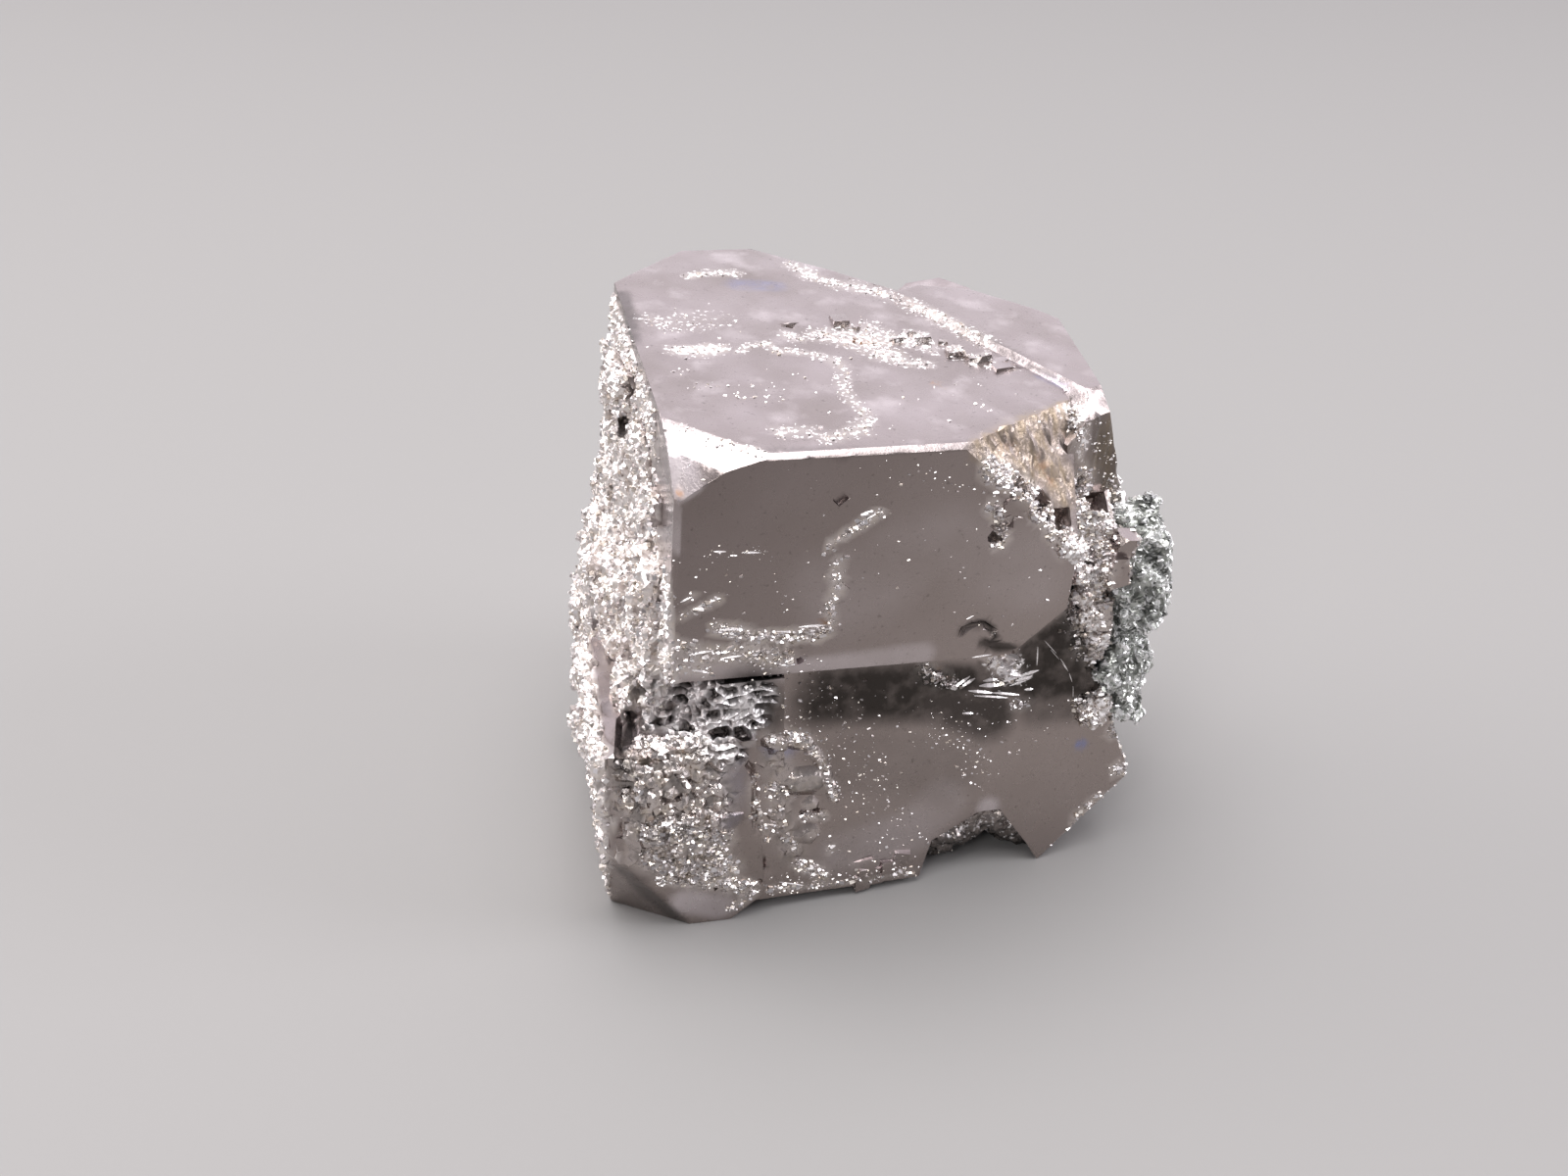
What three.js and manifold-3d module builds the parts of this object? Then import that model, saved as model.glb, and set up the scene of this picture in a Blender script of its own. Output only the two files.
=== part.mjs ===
// Franckeite on pyrite: a hand specimen about 32 mm wide, in millimetres, +Z up, standing on the plane z = 0.
// Grey, stepped pyrite crystals have grown into each other and carry a crust of small crystals on their rough sides.
// Dark balls of thin franckeite blades sit on the right side, where three of the large crystals meet.

import * as THREE from "three";
import { ConvexGeometry } from "three/addons/geometries/ConvexGeometry.js";
import { mergeVertices } from "three/addons/utils/BufferGeometryUtils.js";
import Module from "manifold-3d";

const wasm = await Module();
wasm.setup();

// Driving dimensions
const contactGap = 0.3; // kept between the two minerals
const groundBlock = [80, 80, 20]; // cuts the lowest tips flat, so that the specimen stands on them
const crystalSeed = 1469;
const bladeSeed = 88;

// The large pyrite crystals. A face is [x, y, z, distance]: a direction in the crystal's own axes, and its distance
// from the crystal's centre. The turn is yaw, roll (right side down) and pitch (front down), in degrees.
const crystals = {
  upper: {
    centre: [-1, 2, 20],
    turn: [13, 3.5, 2],
    faces: [
      [-1, 0, 0, 11.05],
      [1, 0, 0, 8.9],
      [0, -1, 0, 8.71],
      [0, 1, 0, 14.3],
      [0, 0, 1, 7.16],
      [0, 0, -1, 5.1],
      [-0.497, -0.504, 0.706, 13.36], // dull corner at the near left
      [-0.28, -0.3, 0.91, 11.0], // thin bright bevel above it
      [0, -0.5, 0.87, 10.38], // bright edge between the top and the front
      [-1, -1, 0, 13.78], // pale edge between the front and the left side
      [0.436, -0.758, 0.483, 11.02], // rusty corner at the near right
      [1, 0, -1, 8.05], // overhanging edge at the lower right
      [0.695, 0.719, 0, 8.3],
      [-0.7, 0.71, 0, 14.9],
      [0, 0.06, 1, 7.8],
    ],
  },
  upperRight: {
    centre: [8, 3, 18],
    turn: [41, 3, 3],
    faces: [
      [-1, 0, 0, 3.2],
      [-1, 0, 1, 7.08], // narrow bright edge along the other crystal's top
      [0, -1, 0, 4.5],
      [0, -1, 1, 8.75], // pale bevel at the near right
      [0, 1, 0, 9.9],
      [0, 0, 1, 8.88],
      [0, 0, -1, 5],
      [0.843, -0.538, 0.36, 4.65], // leans out towards the foot
      [0.97, 0.13, -0.2, 2.4],
      [0.95, 0.31, 0, 4.9],
      [0.68, 0.73, 0, 7.6],
    ],
  },
  lower: {
    centre: [2, 4, 8],
    turn: [15, 3, -6],
    faces: [
      [-1, 0, 0, 11.1],
      [1, 0, 0, 10],
      [0, -1, 0, 8.94],
      [0, 1, 0, 8.5],
      [0, 0, 1, 8.2],
      [0, 0, -1, 8.72],
      [1, 0, -1, 9.9], // wide bevel down to the right foot
      [0.927, 0, 0.374, 8.05], // steep shoulder that carries the franckeite
      [1, 1, 0, 11.8],
    ],
  },
  lowerLeft: {
    centre: [-8.5, -1, 5.5],
    turn: [10, -2, 0],
    faces: [
      [-1, 0, 0, 6.55],
      [1, 0, 0, 1.4],
      [0, -1, 0, 7.94],
      [0, 1, 0, 7],
      [0, 0, 1, 6.2],
      [0, 0, -1, 5.6],
      [-0.51, -0.79, -0.34, 9.45], // dark facet under the front
      [0.616, 0, -0.787, 4.02], // short edge up to the groove
      [-1, 0.6, 0.5, 8.2],
    ],
  },
  neck: {
    centre: [-8.5, 1, 11],
    turn: [13, 0, 0],
    faces: [
      [-1, 0, 0, 4.6],
      [1, 0, 0, 6],
      [0, -1, 0, 7.3],
      [0, 1, 0, 9.5],
      [0, 0, 1, 6],
      [0, 0, -1, 7],
    ],
  },
  neckFront: {
    centre: [-7.2, 1, 12],
    turn: [10, 0, 4],
    faces: [
      [-1, 0, 0, 4.1],
      [1, 0, 0, 1.1],
      [0, -1, 0, 8.8],
      [0, 1, 0, 5],
      [0, 0, 1, 3.4],
      [0, 0, -1, 2.4],
      [-1, -0.5, 0.4, 6.6],
    ],
  },
  rightKnob: {
    centre: [9.6, 1.6, 16.8],
    turn: [10, 2, -4],
    faces: [
      [-1, 0, 0, 1.8],
      [1, 0, 0, 1.5],
      [0, -1, 0, 4.3],
      [0, 1, 0, 5.5],
      [0, 0, 1, 4.3],
      [0, 0, -1, 6],
      [1, -1, 1, 4.9],
      [-1, 0, -0.35, 0.1], // slants down to the right, along the lower crystal's shoulder
    ],
  },
  back: {
    centre: [-3.5, 8.5, 8.5],
    turn: [-24, -2, 3],
    faces: [
      [-1, 0, 0, 8.4],
      [1, 0, 0, 9.2],
      [0, -1, 0, 6],
      [0, 1, 0, 6.2],
      [0, 0, 1, 8.2],
      [0, 0, -1, 9],
      [1, 1, 0, 9.6],
      [-1, 1, 0, 9.8],
      [0, 1, 1, 9.4],
    ],
  },
  backRight: {
    centre: [6.5, 9, 14],
    turn: [52, -3, 2],
    faces: [
      [-1, 0, 0, 5.2],
      [1, 0, 0, 3.2],
      [0, -1, 0, 5],
      [0, 1, 0, 5.4],
      [0, 0, 1, 6.8],
      [0, 0, -1, 6],
      [1, 1, 1, 8.6],
      [-1, 1, -1, 8.4],
    ],
  },
  backStep: {
    centre: [-6, 12, 19],
    turn: [20, 4, -3],
    faces: [
      [-1, 0, 0, 5.6],
      [1, 0, 0, 4.6],
      [0, -1, 0, 4],
      [0, 1, 0, 4.3],
      [0, 0, 1, 4.2],
      [0, 0, -1, 4.5],
      [1, 1, 0, 5.6],
      [-1, 1, 1, 7.4],
    ],
  },
};

// Stubby crystals on the rough left side and the back: centre, turn, half sizes, and how much each corner is cut.
const stubs = [
  { centre: [-11.4, 5.6, 23.2], turn: [10, -4, 6], half: [2.1, 2.4, 2.3], cut: 1.6 },
  { centre: [-11.3, 2.6, 19.4], turn: [16, -3, -4], half: [1.7, 1.7, 3.6], cut: 1.2 },
  { centre: [-12.4, 7.4, 17.6], turn: [8, 3, 9], half: [1.9, 2.6, 3.1], cut: 1.7 },
  { centre: [-12.9, 6.2, 13.9], turn: [20, -6, -5], half: [2.1, 2.4, 2.5], cut: 1.8 },
  { centre: [-11.9, -0.6, 13.4], turn: [15, 4, 3], half: [1.5, 1.9, 3.4], cut: 1.3 },
  { centre: [-12.7, 2.4, 11.6], turn: [6, -5, -8], half: [1.8, 2, 4.2], cut: 1.5 },
  { centre: [-13.4, 5.6, 8.2], turn: [14, 3, 5], half: [2.6, 3.3, 4.6], cut: 2.6 },
  { centre: [-12.4, 0.4, 6.6], turn: [4, 6, -4], half: [2.6, 2.9, 4.1], cut: 2.2 },
  { centre: [-11.8, -4.6, 6.2], turn: [12, -7, 2], half: [2.4, 2.7, 3.6], cut: 1.5 },
  { centre: [-12, -5.4, 11.2], turn: [18, 5, -6], half: [1, 1.1, 2.2], cut: 0.8 },
  { centre: [-10.7, -5.1, 17.3], turn: [12, -3, 4], half: [0.8, 1.5, 3], cut: 0.7 },
  { centre: [-10.8, -1.6, 22.4], turn: [17, 2, -3], half: [0.9, 1.6, 2.9], cut: 0.9 },
  { centre: [-11.8, 10.6, 6.4], turn: [30, -6, 3], half: [2.2, 2.2, 3.6], cut: 1.8 },
  { centre: [-8.5, 13.6, 11.5], turn: [12, -5, 6], half: [2.6, 2.4, 3], cut: 2 },
  { centre: [-4.6, 14.9, 5.2], turn: [-12, -6, 3], half: [3, 1.8, 2.8], cut: 1.8 },
  { centre: [0.5, 14.6, 13.5], turn: [-35, 6, 4], half: [3, 2.2, 3.4], cut: 2.4 },
  { centre: [-1, 14.4, 21], turn: [30, 5, -8], half: [3.2, 2.2, 2.6], cut: 2 },
  { centre: [3.6, 13.2, 23.6], turn: [5, -8, 10], half: [2.4, 2, 2], cut: 1.5 },
  { centre: [4.5, 13.2, 7.4], turn: [24, 8, -5], half: [2.8, 2.2, 3.6], cut: 2.2 },
  { centre: [10.5, 9.4, 6.4], turn: [60, 4, 8], half: [2.4, 2, 3], cut: 1.8 },
  { centre: [11.6, -1.8, 18.1], turn: [20, 25, 0], half: [0.25, 1, 1.6], cut: 0.5 },
];

// The notch under the front, cut as if a crystal had been there.
const notch = {
  centre: crystals.lower.centre,
  turn: crystals.lower.turn,
  faces: [
    [-0.965, 0, 0.263, -0.8],
    [-0.489, 0, 0.872, -5.21],
    [0.04, 0, 1, -4.97],
    [0.812, 0, 0.584, -0.69],
    [0.855, 0, 0.519, 0],
    [0, 1, 0.3, -7],
    [0, -1, 0, 12],
    [0, 0, -1, 12],
  ],
};

const pits = [
  { centre: [-13.5, 6.5, 20.8], turn: [20, 30, 12], size: 1.5 },
  { centre: [-12.9, 3.6, 16.4], turn: [35, 10, 50], size: 1.1 },
  { centre: [-13.2, 1.2, 9.8], turn: [70, 25, 20], size: 1.2 },
  { centre: [-11, -8.3, 13.4], turn: [10, 35, 15], size: 1.5 },
  { centre: [10.7, -1.4, 20.9], turn: [30, 20, 40], size: 1.4 },
  { centre: [7.6, -4.6, 22.9], turn: [10, 60, 30], size: 0.9 },
  { centre: [8.6, -4.2, 21.6], turn: [45, 15, 5], size: 1.1 },
  { centre: [5.75, -5.6, 22.1], turn: [15, 45, 35], size: 0.8 },
  { centre: [5.5, -5.5, 21.5], turn: [50, 5, 25], size: 0.6 },
  { centre: [-2, -7.3, 24.6], turn: [25, 50, 10], size: 0.5 },
  { centre: [12.1, -2.3, 16.1], turn: [15, 30, 60], size: 1.5 },
  { centre: [-4.1, -8.2, 0.1], turn: [15, 12, 25], size: 0.9 },
  { centre: [-1.5, -7.5, 0.1], turn: [20, 8, 40], size: 1.1 },
  { centre: [0.7, -6.9, 0], turn: [10, 25, 15], size: 0.8 },
];

// Where small crystals grow: on the first surface met from a rectangle that looks along its own +Y. The last number
// is how much of a small crystal is inside that surface.
const crusts = [
  { centre: [-26, 1, 15], turn: [-90, 0, 0], across: [21, 25], count: 34, size: [1, 2], sunk: 0.76 },
  { centre: [21, -10.9, 15.8], turn: [48, 0, 0], across: [3.4, 9.5], count: 20, size: [0.6, 1.3], sunk: 0.65 },
  { centre: [24, 1, 9], turn: [84, 0, 0], across: [14, 14], count: 9, size: [1, 2], sunk: 0.75 },
  { centre: [3.5, 3.7, 36], turn: [-27, 0, -90], across: [12, 1.6], count: 14, size: [0.4, 0.9], sunk: 0.75 },
  { centre: [8.6, -16, 22.9], turn: [14, 0, 0], across: [2.6, 2.6], count: 6, size: [0.4, 0.8], sunk: 0.7 },
  { centre: [-9, -20, 6.6], turn: [8, 0, 0], across: [8, 8.4], count: 15, size: [1.2, 2.4], sunk: 0.88 },
  { centre: [3.8, -20, 1.5], turn: [12, 0, 0], across: [6.5, 3.4], count: 6, size: [0.8, 1.5], sunk: 0.85 },
  { centre: [-1, 28, 12], turn: [180, 0, 0], across: [26, 23], count: 8, size: [1.6, 3], sunk: 0.75 },
];
const stray = 15; // degrees, how far the axes of small crystals stray from those of the large ones
const commonYaw = 13;

// Balls of franckeite: centre and radii.
const balls = [
  { centre: [13.2, 0.2, 16.3], radii: [2.3, 3, 3] },
  { centre: [13, 0.1, 18.3], radii: [1.6, 2, 1.6] },
  { centre: [13.8, -0.5, 14.9], radii: [1.6, 2, 1.9] },
  { centre: [12.7, -0.9, 11.3], radii: [2, 2.2, 1.9] },
  { centre: [13.2, 0.6, 13.2], radii: [1.4, 1.9, 1.4] },
  { centre: [13, -1.3, 9.5], radii: [1.3, 1.3, 1.3] },
  { centre: [12.9, 3.6, 14], radii: [2, 2.3, 2.4] },
  { centre: [12, 5.2, 10.2], radii: [2, 2.2, 2.1] },
  { centre: [11.3, 7.2, 13.2], radii: [1.8, 1.9, 2] },
];
const bladesPerArea = 0.11; // blades on a square millimetre of ball
const bladeSize = { thickness: [0.18, 0.3], across: [0.9, 1.5] };
const bumpiness = 0.08; // share of a ball's radius

function seededRandom(seed) {
  let state = seed;
  return () => {
    state = (state + 0x6d2b79f5) | 0;
    let mixed = Math.imul(state ^ (state >>> 15), 1 | state);
    mixed = (mixed + Math.imul(mixed ^ (mixed >>> 7), 61 | mixed)) ^ mixed;
    return ((mixed ^ (mixed >>> 14)) >>> 0) / 2 ** 32;
  };
}

const between = (random, [low, high]) => low + (high - low) * random();

function rotation([yaw, roll, pitch]) {
  return new THREE.Euler(
    THREE.MathUtils.degToRad(pitch),
    THREE.MathUtils.degToRad(roll),
    THREE.MathUtils.degToRad(yaw),
    "ZYX",
  );
}

function placement(centre, turn) {
  return new THREE.Matrix4()
    .makeRotationFromEuler(rotation(turn))
    .setPosition(new THREE.Vector3(...centre));
}

function solidOf(geometry) {
  const bare = geometry.clone();
  bare.deleteAttribute("normal");
  bare.deleteAttribute("uv");
  const merged = mergeVertices(bare, 1e-4);
  return new wasm.Manifold(
    new wasm.Mesh({
      numProp: 3,
      vertProperties: new Float32Array(merged.attributes.position.array),
      triVerts: new Uint32Array(merged.index.array),
    }),
  );
}

function geometryOf(solid) {
  const { numProp, numVert, vertProperties, triVerts } = solid.getMesh();
  const positions = new Float32Array(numVert * 3);
  for (let i = 0; i < numVert; i++)
    positions.set(vertProperties.subarray(i * numProp, i * numProp + 3), i * 3);
  return new THREE.BufferGeometry()
    .setAttribute("position", new THREE.BufferAttribute(positions, 3))
    .setIndex(new THREE.BufferAttribute(triVerts, 1));
}

// The point where three planes meet, or null where two of them are parallel.
function meetingPoint(a, b, c) {
  const volume = a.normal.dot(b.normal.clone().cross(c.normal));
  if (Math.abs(volume) < 1e-6) return null;
  return new THREE.Vector3()
    .addScaledVector(b.normal.clone().cross(c.normal), -a.constant)
    .addScaledVector(c.normal.clone().cross(a.normal), -b.constant)
    .addScaledVector(a.normal.clone().cross(b.normal), -c.constant)
    .divideScalar(volume);
}

// A crystal is the space inside all its faces.
function crystalSolid({ centre, turn, faces }, grow = 0) {
  const planes = faces.map(
    ([x, y, z, distance]) =>
      new THREE.Plane(new THREE.Vector3(x, y, z).normalize(), -distance - grow),
  );
  const corners = [];
  planes.forEach((a, i) =>
    planes.slice(i + 1).forEach((b, j) =>
      planes.slice(i + j + 2).forEach((c) => {
        const point = meetingPoint(a, b, c);
        const inside = point && planes.every((p) => p.distanceToPoint(point) < 1e-5);
        if (inside && !corners.some((p) => p.distanceTo(point) < 1e-4)) corners.push(point);
      }),
    ),
  );
  return solidOf(new ConvexGeometry(corners).applyMatrix4(placement(centre, turn)));
}

const boxFaces = ([x, y, z]) => [
  [1, 0, 0, x],
  [-1, 0, 0, x],
  [0, 1, 0, y],
  [0, -1, 0, y],
  [0, 0, 1, z],
  [0, 0, -1, z],
];

function cornerFaces([x, y, z], cut) {
  const distance = (x + y + z - cut) / Math.sqrt(3);
  return [1, -1].flatMap((i) =>
    [1, -1].flatMap((j) => [1, -1].map((k) => [i, j, k, distance])),
  );
}

function blockCrystal({ centre, turn, half, cut }) {
  return { centre, turn, faces: [...boxFaces(half), ...cornerFaces(half, cut)] };
}

function pitCrystal({ centre, turn, size }) {
  const half = [size / 2, size * 0.42, size * 0.6];
  return blockCrystal({ centre, turn, half, cut: size * 0.3 });
}

const joined = (solids) => solids.reduce((whole, solid) => whole.add(solid));
const without = (solid, cutters) =>
  cutters.reduce((rest, cutter) => rest.subtract(cutter), solid);

function crustCrystal(random, point, size) {
  const half = [0, 1, 2].map(() => size * between(random, [0.38, 0.62]));
  const someCorners = cornerFaces(half, size * 0.35).filter(() => random() < 0.1);
  return {
    centre: point.toArray(),
    turn: [commonYaw, 0, 0].map((angle) => angle + between(random, [-stray, stray])),
    faces: [...boxFaces(half), ...someCorners],
  };
}

// Small crystals on the surface that a zone's rays meet first, thickest in the middle of the zone.
function crustOn(mesh, { centre, turn, across, count, size, sunk }, random) {
  const frame = placement(centre, turn);
  const toward = new THREE.Vector3(0, 1, 0).applyEuler(rotation(turn));
  return Array.from({ length: count }, () => {
    const start = new THREE.Vector3(
      (across[0] / 2) * (random() + random() - 1),
      0,
      (across[1] / 2) * (random() + random() - 1),
    ).applyMatrix4(frame);
    const [hit] = new THREE.Raycaster(start, toward).intersectObject(mesh);
    const grain = between(random, size);
    if (!hit) return null;
    const depth = grain * (sunk - 0.5);
    return crustCrystal(random, hit.point.addScaledVector(hit.face.normal, -depth), grain);
  }).filter(Boolean);
}

// Balls have a bumpy surface, set with thin blades that stand on edge.
function ballSolid({ centre, radii }, random) {
  const geometry = new THREE.IcosahedronGeometry(1, 2);
  geometry.deleteAttribute("normal");
  geometry.deleteAttribute("uv");
  const merged = mergeVertices(geometry, 1e-4);
  const point = new THREE.Vector3();
  for (let i = 0; i < merged.attributes.position.count; i++) {
    point.fromBufferAttribute(merged.attributes.position, i);
    point.multiplyScalar(1 + bumpiness * (2 * random() - 1));
    merged.attributes.position.setXYZ(i, ...point.toArray());
  }
  return solidOf(merged.scale(...radii).translate(...centre));
}

const insideBall = (point, { centre, radii }) =>
  point.clone().sub(new THREE.Vector3(...centre)).divide(new THREE.Vector3(...radii)).length() < 0.9;

// Lozenge-shaped blades on the free surface of a ball.
function bladesOn(ball, random) {
  const radii = new THREE.Vector3(...ball.radii);
  const area = 4 * Math.PI * ((radii.x + radii.y + radii.z) / 3) ** 2;
  const others = balls.filter((other) => other !== ball);
  return Array.from({ length: Math.round(area * bladesPerArea) }, () => {
    const out = new THREE.Vector3().setFromSphericalCoords(
      1,
      Math.acos(2 * random() - 1),
      2 * Math.PI * random(),
    );
    const across = between(random, bladeSize.across);
    const blade = new THREE.BoxGeometry(across, across, between(random, bladeSize.thickness));
    const upright = new THREE.Quaternion().setFromUnitVectors(new THREE.Vector3(0, 1, 0), out);
    const spin = new THREE.Matrix4().makeRotationAxis(out, 2 * Math.PI * random());
    const place = out.clone().multiply(radii).add(new THREE.Vector3(...ball.centre));
    blade.rotateZ(Math.PI / 4).applyQuaternion(upright).applyMatrix4(spin);
    return others.some((other) => insideBall(place, other)) ? null : blade.translate(...place);
  }).filter(Boolean);
}

// The largest closed skin of a solid; air trapped between crystals is filled in.
function outerSkin(solid) {
  const geometry = mergeVertices(geometryOf(solid), 1e-4);
  const index = geometry.index.array;
  const group = Array.from({ length: geometry.attributes.position.count }, (_, i) => i);
  const root = (i) => {
    while (group[i] !== i) i = group[i] = group[group[i]];
    return i;
  };
  for (let i = 0; i < index.length; i += 3) {
    group[root(index[i])] = root(index[i + 1]);
    group[root(index[i + 1])] = root(index[i + 2]);
  }
  const sizes = new Map();
  for (const corner of index) sizes.set(root(corner), (sizes.get(root(corner)) ?? 0) + 1);
  const [largest] = [...sizes].sort((a, b) => b[1] - a[1])[0];
  geometry.setIndex([...index].filter((corner) => root(corner) === largest));
  return mergeVertices(geometry.toNonIndexed(), 1e-4);
}

const ground = solidOf(new THREE.BoxGeometry(...groundBlock).translate(0, 0, -groundBlock[2] / 2));
const large = [...Object.values(crystals), ...stubs.map(blockCrystal)];
const hollows = [notch, ...pits.map(pitCrystal)].map((hollow) => crystalSolid(hollow));
const body = without(joined(large.map((crystal) => crystalSolid(crystal))), hollows);
const bodyMesh = new THREE.Mesh(geometryOf(body), new THREE.MeshBasicMaterial());
const crystalRandom = seededRandom(crystalSeed);
const crust = crusts.flatMap((zone) => crustOn(bodyMesh, zone, crystalRandom));
const pyrite = joined([body, ...crust.map((crystal) => crystalSolid(crystal))]).subtract(ground);

const bladeRandom = seededRandom(bladeSeed);
const cluster = joined(
  balls.flatMap((ball) => [ballSolid(ball, bladeRandom), ...bladesOn(ball, bladeRandom).map(solidOf)]),
);
const makeRoom = [...large, ...crust].map((crystal) => crystalSolid(crystal, contactGap));
const franckeite = without(cluster, makeRoom);

const specimen = new THREE.Group();

function addPiece(name, solid, color, roughness) {
  const material = new THREE.MeshStandardMaterial({ color, roughness, metalness: 1 });
  const mesh = new THREE.Mesh(outerSkin(solid), material);
  mesh.name = name;
  specimen.add(mesh);
}

addPiece("pyrite_crystals", pyrite, 0x9a938a, 0.3);
addPiece("franckeite_cluster", franckeite, 0x4a4d50, 0.45);

// The origin is under the middle of the specimen, on the plane that it stands on.
const extent = new THREE.Box3().setFromObject(specimen);
const middle = extent.getCenter(new THREE.Vector3());
specimen.position.set(-middle.x, -middle.y, -extent.min.z);

export default specimen;
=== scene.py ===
import math

import bpy
import numpy as np
from mathutils import Matrix, Vector
from mathutils.bvhtree import BVHTree


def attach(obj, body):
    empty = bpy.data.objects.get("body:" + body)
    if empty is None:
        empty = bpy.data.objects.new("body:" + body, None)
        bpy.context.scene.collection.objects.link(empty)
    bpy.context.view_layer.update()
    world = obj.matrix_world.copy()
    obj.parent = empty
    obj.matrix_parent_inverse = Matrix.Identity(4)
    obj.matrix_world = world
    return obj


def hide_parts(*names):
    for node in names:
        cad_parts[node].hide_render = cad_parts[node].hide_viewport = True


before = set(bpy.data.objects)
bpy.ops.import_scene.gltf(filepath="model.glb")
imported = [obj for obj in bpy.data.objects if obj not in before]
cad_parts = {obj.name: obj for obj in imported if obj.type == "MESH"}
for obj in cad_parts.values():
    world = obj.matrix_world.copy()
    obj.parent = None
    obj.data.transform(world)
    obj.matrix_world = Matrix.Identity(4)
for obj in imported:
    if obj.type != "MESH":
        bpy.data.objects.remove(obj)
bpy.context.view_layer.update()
mm = 0.001
sameCorner = 0.001       # mm: corners of the CAD mesh that are nearer than this are one
print("frame loaded")

# The photograph's camera. Its frame is 1600 x 1200 pixels, and pixels below are given in it.
photo = {
    "width": 1600,
    "height": 1200,
    "place": (-3.92, -81.22, 65.11),     # mm
    "degreesDown": 33,
    "lens": 40.5,                        # mm, on a 36 mm sensor
    "sensor": 36,
    "nearest": 0.005,                    # m, where the camera starts and stops to see
    "farthest": 20,
}


def hexColour(text):
    # linear red, green, blue and alpha, with the numbers of the sRGB standard
    parts = [int(text[i:i + 2], 16) / 255 for i in (1, 3, 5)]
    return [p / 12.92 if p <= 0.04045 else ((p + 0.055) / 1.055) ** 2.4 for p in parts] + [1.0]


def addNode(tree, kind, inputs={}, **settings):
    # inputs are values, sockets to link from, or nodes whose first output is linked, and a kind in
    # capitals is the operation of a maths node
    if kind.isupper():
        settings["operation"] = kind
        kind = "ShaderNodeMath"
    node = tree.nodes.new(kind)
    for name, value in settings.items():
        setattr(node, name, value)
    for key, value in inputs.items():
        if isinstance(value, bpy.types.Node):
            value = value.outputs[0]
        if isinstance(value, bpy.types.NodeSocket):
            tree.links.new(value, node.inputs[key])
        else:
            node.inputs[key].default_value = value
    return node


def addObject(name, data):
    new = bpy.data.objects.new(name, data)
    bpy.context.scene.collection.objects.link(new)
    return new


def only(piece):
    bpy.ops.object.select_all(action="DESELECT")
    piece.select_set(True)
    bpy.context.view_layer.objects.active = piece


def joined(pieces, name):
    only(pieces[0])
    for piece in pieces:
        piece.select_set(True)
    bpy.ops.object.join()
    whole = bpy.context.active_object
    whole.name = name
    return whole


def makeCamera():
    data = bpy.data.cameras.new("photoCamera")
    data.lens = photo["lens"]
    data.sensor_width = photo["sensor"]
    data.clip_start = photo["nearest"]
    data.clip_end = photo["farthest"]
    camera = addObject("photoCamera", data)
    camera.location = Vector(photo["place"]) * mm
    camera.rotation_euler = (math.radians(90 - photo["degreesDown"]), 0, 0)
    bpy.context.scene.camera = camera
    bpy.context.view_layer.update()
    return camera


camera = makeCamera()


def copyOfNode(nodeName, name):
    # the CAD node's triangles with their shared corners merged
    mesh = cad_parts[nodeName].data.copy()
    mesh.materials.clear()
    piece = addObject(name, mesh)
    only(piece)
    bpy.ops.object.mode_set(mode="EDIT")
    bpy.ops.mesh.select_all(action="SELECT")
    bpy.ops.mesh.remove_doubles(threshold=sameCorner * mm)
    bpy.ops.object.mode_set(mode="OBJECT")
    return piece


def applyModifier(piece, name, kind, **settings):
    only(piece)
    modifier = piece.modifiers.new(name, kind)
    for key, value in settings.items():
        setattr(modifier, key, value)
    bpy.ops.object.modifier_apply(modifier=name)


def pointsOf(piece):
    points = np.empty(len(piece.data.vertices) * 3, np.float32)
    piece.data.vertices.foreach_get("co", points)
    return points.reshape(-1, 3) / mm


def normalsOf(piece):
    normals = np.empty(len(piece.data.vertices) * 3, np.float32)
    piece.data.vertex_normals.foreach_get("vector", normals)
    return normals.reshape(-1, 3)


def store(piece, name, weights):
    attribute = piece.data.attributes.get(name) or piece.data.attributes.new(name, "FLOAT", "POINT")
    attribute.data.foreach_set("value", weights.astype(np.float32))


def valuesOf(piece, name):
    values = np.empty(len(piece.data.vertices), np.float32)
    piece.data.attributes[name].data.foreach_get("value", values)
    return values


def rise(values, low, high):
    # 0 below low, 1 above high, smooth between
    t = np.clip((values - low) / (high - low), 0, 1)
    return t * t * (3 - 2 * t)


# Brush strokes that paint weights on a piece.
brush = {
    "core": 0.35,                # of a stroke's reach, where it has its full strength
    "ownFace": 4,                # how much more it counts to be off the stroke's own face
    "shortest": 1e-9,            # mm2, so that a path of one place can be divided by its length
}


def distanceToPath(points, path, facing, flatness):
    # distances off the path's own face count more, so that a mark stays on that face
    nearest = np.full(len(points), np.inf)
    ends = path[1:] if len(path) > 1 else path
    for start, end in zip(path, ends):
        start, end = np.array(start), np.array(end)
        along = end - start
        share = ((points - start) @ along) / max(along @ along, brush["shortest"])
        gap = points - (start + np.clip(share, 0, 1)[:, None] * along)
        gap += flatness * (gap @ facing)[:, None] * facing
        nearest = np.minimum(nearest, np.sqrt((gap * gap).sum(1)))
    return nearest


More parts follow.
